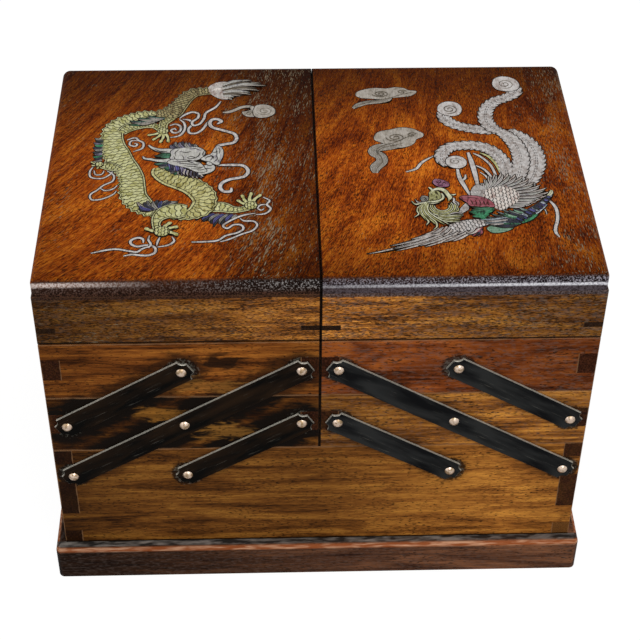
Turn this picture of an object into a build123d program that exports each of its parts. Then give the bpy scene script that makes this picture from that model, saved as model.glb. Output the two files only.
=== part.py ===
from build123d import *
import os
from math import atan2, cos, degrees, hypot, pi, sin

os.makedirs("parts", exist_ok=True)

# An expanding box in dark red hardwood, in millimetres.
# A base box stands on a plinth board. Above it the box is split down the middle into a left
# and a right half, each a lower tray, an upper tray and a lid. Black metal arms on the front
# and rear faces carry the trays, which swing up and outwards and stay level.
# X runs to the right, Y to the rear and Z up. The origin is the middle of the plinth's
# underside, so the front face looks along -Y.

# Driving dimensions
BOX_W = 300.0
BOX_D = 200.0
SEAM = 0.2
BOARD = 10.5
ARRIS = 0.4

PLINTH_H = 24.5
PLINTH_LIP = 6.0
PLINTH_ROUND = 3.5
PLINTH_CORNER = 3.6

BASE_TOP = 103.0
LOWER_TOP = 144.0
UPPER_TOP = 183.5
RIM_TOP = 217.0
LID_TOP = 227.5
TIER_GAP = 0.25
LID_GAP = {"right": 0.5, "left": 0.8}
LID_EDGE_ROUND = 4.5
LID_CORNER = 4.6
LID_SEAM_ROUND = 0.6

# Heights of the side boards' fingers, measured up from the foot of each tier
BASE_FINGERS = ((0.0, 10.5), (25.5, 52.5), (67.5, 78.5))
TRAY_FINGERS = ((13.5, 28.0),)
RIM_FINGERS = ((7.5, 11.0),)

TRAY_PANEL = 4.0
PANEL_RAISE = 2.0
PANEL_TONGUE = 4.0

# Pivots of the right half: outer, middle and inner distance from the seam, and height
PIVOT_OUT = 140.0
PIVOT_MID = 75.0
PIVOT_IN = 10.0
PIVOT_Z = 83.0
PIVOT_RISE = 40.2

ARM_W = 14.6
ARM_T = 1.2
ARM_END = 5.8
ARM_COVE = 3.7
ARM_BEVEL = 0.2
ARM_STANDOFF = 0.3

PIN_R = 1.5
PIN_RUN = 0.05
PIN_LOOSE = 0.2
PIN_HEAD_R = 2.9
PIN_HEAD_H = 1.7
PIN_HEAD_GAP = 0.15
PIN_DEPTH = 9.0

HINGE_Y = 55.0
HINGE_L = 28.0
LEAF_T = 0.9
LEAF_INSET = 1.2
HINGE_OFFSET = 1.8
KNUCKLE_R = 1.5
KNUCKLE_GAP = 0.2
HINGE_PIN_R = 0.75
HINGE_PIN_RUN = 0.05
SCREW_R = 0.8
SCREW_HEAD_R = 1.5
SCREW_L = 7.0
SCREW_Y = 9.0

INLAY_T = 0.8
INLAY_STEPS = 4
STROKE_TAPER = 0.45
PALM_SIDES = 20
TOE_ROOT = 0.42
TOE_TIP = 0.3

HALF_W = BOX_W / 2
HALF_D = BOX_D / 2
SPLIT = SEAM / 2
FACES = {"front": -1, "rear": 1}

# Pivot pins of each carrier on the right half, as distance from the seam and height
LOWER_Z = PIVOT_Z + PIVOT_RISE
UPPER_Z = PIVOT_Z + 2 * PIVOT_RISE
BASE_PIVOTS = ((PIVOT_OUT, PIVOT_Z), (PIVOT_MID, PIVOT_Z))
LOWER_PIVOTS = ((PIVOT_MID, LOWER_Z), (PIVOT_IN, LOWER_Z), (PIVOT_OUT, LOWER_Z))
UPPER_PIVOTS = ((PIVOT_IN, UPPER_Z), (PIVOT_MID, UPPER_Z))

# The shell inlay, as drawn on paper: x from the seam, y from near the lid's front edge. The
# drawing lies on the lid with its corner here, shrunk and slanted by these shares.
# Bands are (x, y, half width) along their middle. Strokes are (half width, places) and taper
# to their ends. Patches are places round an edge. Paws are (palm, palm radius, claw tips), and
# discs are (middle, radius).
DRAWING_CORNER = (0.46, -102.33)
DRAWING_SCALE = (0.996, 0.993)
DRAWING_SLANT = -0.0037

DRAGON_BANDS = {
    "tail": [(-60.6, 176.4, 3.2), (-69.6, 174.9, 4.0), (-74.9, 169, 4.4), (-78.7, 160.8, 4.9),
             (-83.5, 153.5, 6.2), (-91, 151.5, 3.4)],
    "body": [(-88, 153.2, 2.2), (-99, 152.3, 3.2), (-106, 149, 3.8), (-112, 144, 4.8),
             (-115.4, 137.4, 5.7), (-115.8, 129, 6.2), (-114.6, 121.8, 6.6), (-112.6, 114.5, 7.6),
             (-109.8, 106.5, 7.6), (-105.6, 98.9, 7.0), (-102.6, 90.6, 6.8), (-101.8, 82.3, 7.1),
             (-100.6, 73.9, 7.2), (-96.4, 66.4, 6.8), (-91.4, 60.6, 4.6), (-88, 57.6, 2.4)],
    "neck": [(-79.2, 55.6, 2.4), (-70.9, 56.6, 4.0), (-64.9, 60.6, 6.0), (-62.1, 67.7, 6.5),
             (-63.6, 75, 7.2), (-68.8, 81.7, 7.1), (-75.6, 86, 6.6), (-82.3, 90, 6.2),
             (-87.8, 95, 4.6), (-89.4, 99.6, 2.2)],
    "upper_thigh": [(-111, 134.5, 3.0), (-106.5, 139.5, 4.0), (-100, 142, 3.8), (-93, 141, 2.4),
                    (-88.6, 137.4, 2.4)],
    "hip": [(-84.5, 149.5, 4.6), (-87, 143.5, 2.8), (-87.4, 137, 2.6)],
    "fore_thigh": [(-71.4, 59.6, 4.8), (-76.1, 59.8, 6.4), (-82.6, 58.4, 5.6), (-86.8, 53.4, 3.4),
                   (-87.4, 47.4, 2.3), (-85.4, 42.6, 3.2)],
    "hind_leg": [(-58.5, 63.6, 4.6), (-52.2, 63.2, 4.4), (-47, 61, 3.2), (-41.6, 61.2, 2.3),
                 (-37, 63.6, 3.0)],
    "left_leg": [(-109.5, 98.5, 2.2), (-115, 101.2, 3.6), (-120.5, 102.6, 2.6), (-124.8, 105, 1.2)],
    "upper_horn": [(-77, 115.2, 1.9), (-83, 115.8, 2.0), (-88, 116.2, 1.6), (-92, 118.2, 1.0),
                   (-94.8, 121.2, 0.6)],
    "lower_horn": [(-77, 106.8, 1.9), (-83, 106.4, 1.9), (-88, 106.6, 1.6), (-93, 107.6, 1.0),
                   (-96.4, 108.4, 0.8), (-97.4, 110.4, 0.5)],
}
DRAGON_PAWS = {
    "upper_paw": ((-87.2, 135.4), 3.0,
                  ((-95.4, 131.3), (-92.4, 126.8), (-88.2, 124.2), (-83.6, 124.8))),
    "fore_paw": ((-84.2, 41.8), 4.0,
                 ((-93, 44.5), (-80, 49.6), (-76.2, 46), (-75.8, 39.2))),
    "hind_paw": ((-36.6, 64.4), 3.4,
                 ((-44, 69), (-41.6, 73.4), (-36.5, 75.6), (-31.6, 73.8))),
}
DRAGON_PATCHES = {
    "tail_tuft": [(-62.4, 179), (-60, 183.4), (-56, 186), (-50, 186.2), (-46.6, 184.6),
                  (-43, 186.6), (-38.8, 188.4), (-36.4, 185.6), (-31, 184.6), (-31.4, 182.4),
                  (-26.4, 183.4), (-29.6, 180), (-30.6, 177), (-34, 174.4), (-37, 172),
                  (-44, 170.6), (-48.4, 167.2), (-53.4, 168), (-58.6, 171.4), (-60.4, 175)],
    "head": [(-80.4, 117.4), (-73, 118.4), (-65.6, 118.8), (-61.6, 115.6), (-60.4, 111.4),
             (-57, 113.4), (-55.6, 117.6), (-52.4, 117.2), (-52, 112.8), (-53, 107.6),
             (-54.2, 103.2), (-56.4, 100.8), (-57.8, 96.4), (-61.4, 92.6), (-65.4, 89.6),
             (-67, 92.4), (-72, 96.4), (-77.2, 101.4), (-82.6, 103.8), (-80.6, 110)],
    "brow_hair": [(-79.4, 117.8), (-80.2, 121.4), (-76.8, 124.8), (-73.4, 122.6), (-68.4, 121.2),
                  (-66.6, 118.8), (-72, 118.2)],
    "cheek_hair": [(-80.6, 112.4), (-84.6, 113.8), (-90.4, 112), (-89.6, 108.6), (-84.6, 109),
                   (-80.6, 109.4)],
    "mane": [(-89.4, 103.4), (-83.4, 104.2), (-77.2, 101.6), (-72, 96.6), (-66.8, 92.4),
             (-68.4, 89.4), (-74, 90.8), (-80, 93), (-84.6, 96.8), (-87, 99.6)],
    "back_flame": [(-121.6, 128.4), (-125.6, 127), (-124.4, 123), (-126.6, 119.4),
                   (-124.4, 116.4), (-126.2, 113), (-123.4, 106.4), (-121, 108), (-120.6, 118)],
    "hip_flame": [(-108.4, 143.6), (-103.4, 146.8), (-98, 149.4), (-91.6, 149.6), (-88.4, 147.6),
                  (-91.4, 143.4), (-98, 145.8), (-104.6, 143.2)],
    "fore_flame": [(-98.4, 68.4), (-91.4, 69), (-83.4, 69.6), (-76.4, 67.2), (-83.6, 64.6),
                   (-87.4, 60.6), (-91.4, 59.8), (-95.4, 61.8), (-94.4, 65.4)],
    "hind_flame": [(-63.6, 51.4), (-60, 53.4), (-57, 56.6), (-48.6, 56.6), (-44.6, 55.6),
                   (-48.6, 52.4), (-52.6, 50.4), (-56.6, 50.6)],
    "cloud": [(-53, 155), (-50.6, 153.2), (-46.4, 155.6), (-42.4, 158), (-38.6, 157.4),
              (-41.6, 154), (-40.4, 150), (-36, 149.2), (-31.6, 148.4), (-26, 149.4),
              (-22.4, 154), (-23.6, 159), (-28.4, 162), (-33.4, 159.6), (-38.4, 161),
              (-43.6, 159.8), (-48, 156.6)],
}
DRAGON_STROKES = {
    "upper_whisker": (1.1, [(-55, 116), (-55.4, 120), (-51, 122), (-46.6, 123.4), (-44.8, 127.4),
                            (-46.4, 132.2), (-52.2, 135.4), (-58.6, 138.6), (-60.4, 142.6),
                            (-59.2, 146.4), (-56, 147), (-53.8, 144.6), (-56, 142.2)]),
    "lower_whisker": (1.1, [(-56, 101.6), (-48, 101.8), (-41, 101), (-38.2, 95.8), (-40.8, 90.6),
                            (-48, 88.4), (-52.4, 85.2), (-53.6, 81), (-51.8, 77.4), (-48, 77.2),
                            (-47.4, 80.4)]),
    "long_ribbon": (0.9, [(-54.3, 165.6), (-57.4, 159.4), (-62.8, 153.6), (-64, 147.4),
                          (-66.4, 142.4), (-69.8, 141), (-70.6, 144.6), (-67.6, 148.4),
                          (-67.2, 152.6), (-70.6, 154.6), (-75, 152), (-78, 148.2)]),
    "inner_ribbon": (0.9, [(-59.4, 148), (-62, 143.2), (-64.6, 137), (-68, 133.4), (-71.8, 133.6),
                           (-72.6, 137.6), (-70.8, 142), (-72.2, 146.4), (-76.4, 147.4)]),
    "outer_curl": (0.8, [(-78, 147.2), (-75.2, 143.4), (-74.8, 137), (-77.6, 131), (-83, 129.2)]),
    "inner_curl": (0.8, [(-83.6, 141), (-80.2, 142.6), (-77.2, 140), (-77.6, 135.4),
                         (-81, 133.6), (-83, 136.6)]),
    "body_curl": (0.8, [(-107.4, 127), (-103, 129.2), (-100.6, 126.4), (-98, 123.4),
                        (-98.8, 118.4), (-103.4, 115.6)]),
    "body_curl_eye": (0.8, [(-100.6, 126), (-104.6, 126), (-105.2, 122), (-102.2, 121.2)]),
    "left_ribbon": (0.7, [(-124.6, 102), (-126.4, 97), (-125.4, 91.6), (-119.6, 90.4),
                          (-115.4, 93.6)]),
    "left_loop": (0.7, [(-117, 97.6), (-113, 93.4), (-113.2, 88), (-118, 84), (-121, 79.8),
                        (-124.6, 75.6), (-123.4, 71), (-118, 71.6), (-112.4, 75.4),
                        (-110.6, 79)]),
    "left_link": (0.7, [(-119.4, 81.2), (-116.6, 79.2), (-112.4, 80.8), (-110.4, 84)]),
    "front_ribbon": (0.8, [(-120.6, 24.6), (-112.5, 27.2), (-107, 27.8), (-101, 26.2),
                           (-96.5, 25.4), (-93.8, 28), (-88.6, 30.6)]),
    "front_loop": (0.8, [(-103.4, 22.2), (-99, 23.4), (-94, 22.6), (-90, 22.8), (-87, 25.2),
                         (-87.6, 29.4), (-92, 31), (-96.6, 30), (-99.8, 32), (-100.2, 35.2),
                         (-96.8, 37.4), (-94, 36.2), (-93.6, 33)]),
    "front_hook": (0.7, [(-86, 29.4), (-80.4, 31), (-77.4, 34.4), (-78.6, 38)]),
    "front_stem": (0.7, [(-90.6, 39), (-91, 35.4), (-89.6, 31.8), (-90.6, 28.6)]),
    "front_stalk": (0.7, [(-84.8, 38.4), (-86, 34), (-86.4, 30.4)]),
    "rear_ribbon": (0.8, [(-68.2, 33.2), (-61.5, 33.4), (-54.4, 34.4), (-50, 38.4), (-44, 40.8),
                          (-40.8, 44), (-42, 47.4), (-46, 47.6), (-49.4, 44.6), (-51.6, 47),
                          (-49, 50.2), (-43.9, 54.2), (-39.7, 56.3), (-34.4, 57.6)]),
    "rear_loop": (0.7, [(-53, 33.4), (-48, 35.6), (-41.8, 39.6), (-35.8, 42.8), (-33.4, 47.4),
                        (-35.4, 50.8), (-40.4, 51.2), (-42.6, 53.6)]),
    "paw_loop": (0.7, [(-30, 72), (-26.6, 69), (-28, 65.4), (-26, 62), (-27.2, 59), (-30, 57),
                       (-34, 56.6)]),
    "paw_curl": (0.7, [(-28, 65.4), (-31.4, 65), (-33, 62.4), (-31.2, 60.4), (-29.6, 61.8)]),
}

PHOENIX_BANDS = {
    "great_plume": [(106, 133.5, 3.0), (112.6, 128.6, 6.4), (117.4, 121, 7.6), (119.4, 112.6, 8.6),
                    (119.6, 104, 9.0), (118.2, 95.6, 8.8), (115, 87, 8.4), (110.6, 79.4, 7.4),
                    (107, 74, 5.0)],
    "upper_plume": [(122.4, 178.6, 3.4), (121, 172.4, 4.4), (115.6, 167.6, 3.8),
                    (108.4, 164.4, 4.0), (103.4, 158.4, 4.2), (100.8, 151.2, 4.4),
                    (100.2, 143.4, 4.4), (103, 136.4, 4.2), (108, 131.4, 3.4)],
    "middle_plume": [(75.4, 152.4, 3.4), (76.2, 146, 4.2), (81, 140.4, 4.2), (88, 136.8, 4.2),
                     (95, 134.8, 4.4), (101.6, 134, 4.0)],
    "lower_plume": [(80, 99.6, 2.4), (74.4, 100, 3.4), (70.8, 104.4, 3.8), (71.4, 111.4, 4.2),
                    (76.6, 117.6, 4.2), (84.3, 119, 4.4), (92.6, 118.4, 4.4), (99.4, 114.8, 4.4),
                    (103.8, 108.4, 4.4), (106, 101, 4.2), (106.4, 93, 4.0), (105.4, 85.4, 3.8),
                    (103.6, 78, 3.4)],
    "wing": [(90, 47.4, 2.6), (82, 46.6, 4.6), (73.6, 43, 5.6), (65, 37.4, 5.2), (55.6, 32.4, 3.8),
             (45, 28, 2.4), (35, 24.6, 1.5), (24, 22, 0.7)],
    "mane": [(63.3, 66.7, 2.2), (61.3, 63.6, 2.4), (61.5, 59.9, 2.4), (63.7, 57, 2.4),
             (67.2, 55.9, 2.4), (70.7, 57, 2.4), (72.9, 59.9, 2.3), (73, 63.4, 1.8),
             (71.8, 65.8, 1.2)],
}
PHOENIX_DISCS = {
    "upper_curl": ((116.4, 182), 8.0),
    "middle_curl": ((80.2, 156.2), 7.2),
    "lower_curl": ((79, 102.4), 5.6),
}
PHOENIX_PATCHES = {
    "upper_cloud": [(25.6, 171.6), (29, 176.2), (37.4, 178.8), (44, 178.4), (50, 179.6),
                    (54.6, 178.6), (57.4, 176.2), (61.8, 175.4), (61.4, 173), (58, 170),
                    (53, 169), (47.8, 167.6), (46.8, 164.4), (43.8, 162.4), (37.6, 161.8),
                    (32, 161.8), (28.4, 160.2), (25.6, 157), (23.2, 157.6), (24.4, 160.6),
                    (27.4, 163), (32.4, 164.6), (36.6, 166), (33.4, 167.8), (28.4, 168.4)],
    "lower_cloud": [(34.4, 129.2), (37.4, 133.4), (43.8, 135.4), (50, 137.4), (56.4, 136.4),
                    (59.4, 133.8), (62.6, 131.2), (62, 128), (58.4, 125.6), (56.8, 121.8),
                    (54, 119), (50, 116.6), (44, 115.4), (39.4, 115.4), (37.8, 112.6),
                    (39.6, 108.4), (39.6, 104), (36.4, 100.4), (33.4, 97.6), (32.8, 93.2),
                    (30.6, 96.8), (30.8, 100.2), (32.4, 103.2), (34.4, 106.2), (33.8, 108.8),
                    (30.2, 111.4), (29.6, 115), (31.8, 118.8), (36.4, 120.8), (42.2, 121.2),
                    (37.4, 122.8), (34.4, 125)],
    "body": [(92, 74.6), (98, 78.6), (106, 79.4), (114, 76.6), (121, 76.8), (127.6, 74),
             (122.6, 70.4), (124.4, 68), (117.6, 65.6), (112, 63.4), (105.6, 60.4),
             (100.4, 57.8), (96.4, 60), (92.4, 66)],
    "thigh": [(88.4, 80), (85.2, 76.6), (84, 70.6), (88.6, 69.6), (93.4, 68), (93.6, 75.6)],
    "crest": [(64, 83.6), (65.6, 86.6), (69.4, 85.4), (72.6, 82.6), (71.4, 79.2), (67.4, 79.4),
              (65.4, 80.8)],
    "collar": [(78.4, 70.2), (84.6, 70.4), (91, 68.2), (95.2, 64.2), (95.6, 60.6), (90.4, 60.8),
               (82.4, 62.6), (80.2, 66.4)],
    "upper_breast": [(82.2, 61), (83.6, 57.8), (86.6, 56.6), (89, 57.6), (91.4, 59.6),
                     (94, 60.8), (90.4, 61.6), (86.6, 61.8)],
    "lower_breast": [(81, 55.6), (83, 52.4), (86, 50.4), (89.4, 51), (92, 53.4), (95, 56.8),
                     (95.8, 59.2), (91, 58.2), (88, 56.4), (85, 56.6), (82.4, 57.4)],
    "throat": [(75, 56.8), (77.6, 60.6), (80.6, 64.6), (81.6, 60), (79, 57), (75.6, 55.4)],
    "face": [(61.4, 74), (63.4, 75.8), (66, 75.4), (67.8, 72.6), (68.4, 69.4), (66.6, 66.6),
             (63, 65.4), (60.4, 66.6), (61.2, 69.4)],
    "ear": [(56.2, 69.6), (57.6, 71.8), (59.8, 71), (61.2, 68.6), (60.8, 66.2), (58.8, 65.8),
            (56.8, 67.2)],
    "back": [(87.6, 49.6), (94, 52.6), (99.6, 56.6), (104, 53.4), (110.6, 56), (113.6, 54),
             (109.4, 47.8), (103, 43.4), (97.4, 44.8), (93, 46.6)],
    "belly": [(90, 42.4), (94, 44.2), (100.6, 43), (103.4, 41.4), (98, 38.8), (92.4, 38.6)],
    "blue_plume": [(107.6, 50.6), (111.6, 55.6), (118, 60.4), (124, 66), (128.6, 72.8),
                   (129, 69.6), (124.6, 63.2), (121.4, 58.6), (116.4, 52.2), (110.8, 49)],
    "red_plume": [(80.4, 42), (84, 43.4), (86.8, 43.8), (85.4, 38.6), (82.6, 35.4), (80.6, 37.4)],
}
PHOENIX_STROKES = {
    "left_leg": (1.3, [(79, 96), (79.4, 88.5), (81.2, 81), (83.6, 71)]),
    "left_spur": (0.8, [(82.4, 90.6), (81.6, 87.6), (80.4, 85)]),
    "right_leg": (1.5, [(86.6, 112), (87.6, 103), (88.4, 92), (88.8, 80)]),
    "long_feather": (0.9, [(90.4, 110.6), (96, 104.6), (98.8, 96.6), (99.6, 88), (99.8, 79)]),
    "short_feather": (0.9, [(89.6, 98.6), (94.4, 93.6), (96.6, 86.4), (97.4, 78)]),
    "left_streamer": (0.8, [(50, 94.2), (55.8, 97.2), (60, 104), (67.4, 110)]),
    "right_streamer": (0.9, [(126.4, 66.6), (128.8, 62), (129.4, 56), (128.6, 49.4),
                             (126.8, 43.4), (126.2, 39), (127.6, 34.6)]),
    "forehead": (1.2, [(64.2, 76.6), (67, 77.2), (69.6, 75.6), (71.2, 72.6), (72.4, 69)]),
    "beak": (0.8, [(61.6, 79), (62.8, 76.6), (64.2, 74.8)]),
    "mane_lock_1": (0.6, [(60.6, 65.5), (59, 61), (59.8, 56.6), (63, 52.5), (66, 49.5),
                          (69.5, 46)]),
    "mane_lock_2": (0.6, [(59.5, 65), (57.4, 60), (58, 56), (60, 52), (62.5, 48.5), (63, 44.4),
                          (61, 41.5)]),
    "mane_lock_3": (0.6, [(58, 64.5), (55.8, 60), (56, 55.5), (57.5, 51.5), (59, 48.5),
                          (57.6, 45.6)]),
    "mane_lock_4": (0.6, [(57.4, 64), (54.6, 61), (53.6, 58), (54, 55.5), (51.5, 52.6)]),
    "mane_lock_5": (0.6, [(60, 66), (56, 65), (53, 63.6), (51, 66.5)]),
    "mane_lock_6": (0.6, [(66, 54), (70, 52.4), (74, 53.6), (78.4, 53.6)]),
    "mane_lock_7": (0.6, [(64.6, 53), (68, 50.4), (72, 50.8), (76.4, 51.4)]),
    "mane_lock_8": (0.6, [(66, 49.6), (70, 48.4), (76, 48)]),
    "crown_flick": (0.6, [(71.4, 72.2), (74.6, 72.2), (76, 73)]),
    "back_flick": (0.6, [(72, 69.4), (74.4, 68.4), (76, 66.4)]),
}


def block(x0, x1, y0, y1, z0, z1):
    """A box between two opposite corners."""
    middle = ((x0 + x1) / 2, (y0 + y1) / 2, (z0 + z1) / 2)
    return Pos(*middle) * Box(x1 - x0, y1 - y0, z1 - z0)


def fuse(shapes):
    """One shape from overlapping or separate ones."""
    first, *rest = shapes
    return first.fuse(*rest) if rest else first


def along_y(x, z, radius, y0, y1):
    """A round bar or bore along Y."""
    return Pos(x, (y0 + y1) / 2, z) * Rot(90, 0, 0) * Cylinder(radius, y1 - y0)


def plinth_board():
    """The board that the box stands on, with a rounded upper edge."""
    board = block(-HALF_W - PLINTH_LIP, HALF_W + PLINTH_LIP,
                  -HALF_D - PLINTH_LIP, HALF_D + PLINTH_LIP, 0, PLINTH_H)
    board = fillet(board.edges().filter_by(Axis.Z), PLINTH_CORNER)
    return fillet(board.faces().sort_by(Axis.Z)[-1].edges(), PLINTH_ROUND)


def walls(x0, x1, z0, z1, fingers):
    """Front, rear, left and right boards of one tier, finger-jointed at the corners."""
    ring = fillet(block(x0, x1, -HALF_D, HALF_D, z0, z1).edges(), ARRIS)
    ring -= block(x0 + BOARD, x1 - BOARD, BOARD - HALF_D, HALF_D - BOARD, z0, z1)
    left_slab = block(x0, x0 + BOARD, -HALF_D, HALF_D, z0, z1)
    right_slab = block(x1 - BOARD, x1, -HALF_D, HALF_D, z0, z1)
    bands = fuse([block(x0, x1, -HALF_D, HALF_D, z0 + low, z0 + high) for low, high in fingers])
    middle = block(x0, x1, BOARD - HALF_D, HALF_D - BOARD, z0, z1)
    sides = fuse([left_slab, right_slab]) & fuse([bands, middle])
    front_slab = block(x0, x1, -HALF_D, BOARD - HALF_D, z0, z1)
    rear_slab = block(x0, x1, HALF_D - BOARD, HALF_D, z0, z1)
    return {
        "front": (ring & front_slab) - sides,
        "rear": (ring & rear_slab) - sides,
        "left": ring & sides & left_slab,
        "right": ring & sides & right_slab,
    }


def pivot_pin(x, z, face):
    """A domed pin that holds an arm: head, and shank into the board behind it."""
    seat = ARM_STANDOFF + ARM_T + PIN_HEAD_GAP
    sphere_r = (PIN_HEAD_R ** 2 + PIN_HEAD_H ** 2) / (2 * PIN_HEAD_H)
    dome = Pos(0, 0, seat + PIN_HEAD_H - sphere_r) * Sphere(sphere_r)
    dome &= Pos(0, 0, seat + sphere_r) * Box(4 * sphere_r, 4 * sphere_r, 2 * sphere_r)
    length = seat + PIN_DEPTH + PIN_HEAD_H / 2
    shank = Pos(0, 0, length / 2 - PIN_DEPTH) * Cylinder(PIN_R, length)
    pin = dome + shank
    return Pos(x, face * HALF_D, z) * Rot(-90 * face, 0, 0) * pin


def pivot_pins(pivots):
    """The pins at these pivots on the front and rear faces."""
    return [pivot_pin(x, z, face) for face in FACES.values() for x, z in pivots]


def pin_holes(pivots):
    """The holes that those pins fill in the boards."""
    return fuse([along_y(x, z, PIN_R, *sorted((face * HALF_D, face * (HALF_D - PIN_DEPTH))))
                 for face in FACES.values() for x, z in pivots])


def arm(start, end, face, holes):
    """A flat arm with scooped corners between two pivots, with (place, radius) holes."""
    length = hypot(end[0] - start[0], end[1] - start[1])
    turn = degrees(atan2(end[1] - start[1], end[0] - start[0]))
    outline = Pos(length / 2, 0) * Rectangle(length + 2 * ARM_END, ARM_W)
    for x in (-ARM_END, length + ARM_END):
        for y in (-ARM_W / 2, ARM_W / 2):
            outline -= Pos(x, y) * Circle(ARM_COVE)
    for place, radius in holes:
        outline -= Pos(place * length, 0) * Circle(radius)
    bar = extrude(outline, ARM_T)
    outer_face = bar.faces().sort_by(Axis.Z)[-1]
    bar = chamfer(outer_face.outer_wire().edges(), ARM_BEVEL)
    y_inner = face * (HALF_D + ARM_STANDOFF)
    if face < 0:
        return Pos(start[0], y_inner, start[1]) * Rot(90, 0, 0) * Rot(0, 0, turn) * bar
    return Pos(start[0], y_inner, start[1]) * Rot(90, 0, 0) * Rot(0, 0, turn) * mirror(bar, Plane.XY)


def arms():
    """The three arms of each face on the right half. The short arms' upper pivots are loose."""
    run = PIN_R + PIN_RUN
    loose = PIN_R + PIN_LOOSE
    made = {}
    for name, face in FACES.items():
        made[name, "long_arm"] = arm((PIVOT_OUT, PIVOT_Z), (PIVOT_IN, UPPER_Z), face,
                                     ((0, run), (0.5, run), (1, run)))
        made[name, "lower_short_arm"] = arm((PIVOT_MID, PIVOT_Z), (PIVOT_IN, LOWER_Z), face,
                                            ((0, run), (1, loose)))
        made[name, "upper_short_arm"] = arm((PIVOT_OUT, LOWER_Z), (PIVOT_MID, UPPER_Z), face,
                                            ((0, run), (1, loose)))
    return made


def tray(z0, z1, pivots):
    """The parts of a right-hand tray: four boards, a bottom panel in a groove, and pins."""
    x0, x1 = SPLIT, HALF_W
    inside = (x0 + BOARD, x1 - BOARD, BOARD - HALF_D, HALF_D - BOARD)
    grow = (-PANEL_TONGUE, PANEL_TONGUE, -PANEL_TONGUE, PANEL_TONGUE)
    panel = block(*(edge + more for edge, more in zip(inside, grow)),
                  z0 + PANEL_RAISE, z0 + PANEL_RAISE + TRAY_PANEL)
    cut = fuse([panel, pin_holes(pivots)])
    boards = {name: board - cut for name, board in walls(x0, x1, z0, z1, TRAY_FINGERS).items()}
    return {
        "front": boards["front"],
        "rear": boards["rear"],
        "inner_side": boards["left"],
        "outer_side": boards["right"],
        "bottom": panel,
        "pivot_pins": pivot_pins(pivots),
    }


def lid_top():
    """The right-hand lid's top board, rounded in front, behind and outside."""
    board = block(SPLIT, HALF_W, -HALF_D, HALF_D, RIM_TOP, LID_TOP)
    outer = board.edges().filter_by(Axis.Z).sort_by(Axis.X)[2:]
    board = fillet(outer, LID_CORNER)
    top_edges = board.faces().sort_by(Axis.Z)[-1].edges()
    seam_edge = top_edges.filter_by(Axis.Y).sort_by(Axis.X)[:1]
    board = fillet([edge for edge in top_edges if edge not in seam_edge], LID_EDGE_ROUND)
    seam_edge = board.faces().sort_by(Axis.Z)[-1].edges().filter_by(Axis.Y).sort_by(Axis.X)[:1]
    return fillet(seam_edge, LID_SEAM_ROUND)


def hinge_leaf(z_face, up, knuckle_spans, pin_z, bore):
    """A leaf let into an edge at z_face: plate, knuckles and screw seats, centred on Y = 0."""
    away = -LEAF_T if up else LEAF_T
    z0, z1 = sorted((z_face, z_face + away))
    plate = block(HALF_W - BOARD + LEAF_INSET, HALF_W, -HINGE_L / 2, HINGE_L / 2, z0, z1)
    for y0, y1 in knuckle_spans:
        plate += block(HALF_W - LEAF_INSET, HALF_W + HINGE_OFFSET, y0, y1, z0, z1)
        plate += along_y(HALF_W + HINGE_OFFSET, pin_z, KNUCKLE_R, y0, y1)
    return plate - along_y(HALF_W + HINGE_OFFSET, pin_z, bore, -HINGE_L, HINGE_L)


def hinge_screws(z_face, up):
    """The two countersunk screws of a leaf, centred on Y = 0."""
    down = 1 if up else -1
    made = []
    for y in (-SCREW_Y, SCREW_Y):
        head = Pos(0, 0, -LEAF_T / 2) * Cone(SCREW_R, SCREW_HEAD_R, LEAF_T)
        shank = Pos(0, 0, -SCREW_L / 2) * Cylinder(SCREW_R, SCREW_L)
        screw = head + shank
        if down < 0:
            screw = mirror(screw, Plane.XY)
        made.append(Pos(HALF_W - BOARD / 2 + LEAF_INSET / 2, y, z_face) * screw)
    return made


def hinges(gap):
    """Both butt hinges of the right-hand lid: leaves, screws, pins and the mortises they fill."""
    rim_foot = UPPER_TOP + gap
    pin_z = UPPER_TOP + gap / 2
    third = (HINGE_L - 2 * KNUCKLE_GAP) / 3
    half = HINGE_L / 2
    outer_spans = ((-half, third - half), (half - third, half))
    middle_span = ((-third / 2, third / 2),)
    tray_leaf = hinge_leaf(UPPER_TOP, True, outer_spans, pin_z, HINGE_PIN_R)
    lid_leaf = hinge_leaf(rim_foot, False, middle_span, pin_z, HINGE_PIN_R + HINGE_PIN_RUN)
    tray_screws = hinge_screws(UPPER_TOP, True)
    lid_screws = hinge_screws(rim_foot, False)
    tray_leaf = tray_leaf - fuse(tray_screws)
    lid_leaf = lid_leaf - fuse(lid_screws)
    pin = along_y(HALF_W + HINGE_OFFSET, pin_z, HINGE_PIN_R, -half, half)
    x0 = HALF_W - BOARD + LEAF_INSET
    tray_mortise = fuse([block(x0, HALF_W + 1, -half, half, UPPER_TOP - LEAF_T, UPPER_TOP)]
                        + tray_screws)
    lid_mortise = fuse([block(x0, HALF_W + 1, -half, half, rim_foot, rim_foot + LEAF_T)]
                       + lid_screws)
    places = [Pos(0, y, 0) for y in (-HINGE_Y, HINGE_Y)]
    return {
        "tray_leaves": [place * shape for place in places for shape in [tray_leaf] + tray_screws],
        "lid_leaves": [place * shape for place in places for shape in [lid_leaf] + lid_screws],
        "pins": [place * pin for place in places],
        "tray_mortises": fuse([place * tray_mortise for place in places]),
        "lid_mortises": fuse([place * lid_mortise for place in places]),
    }


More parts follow.
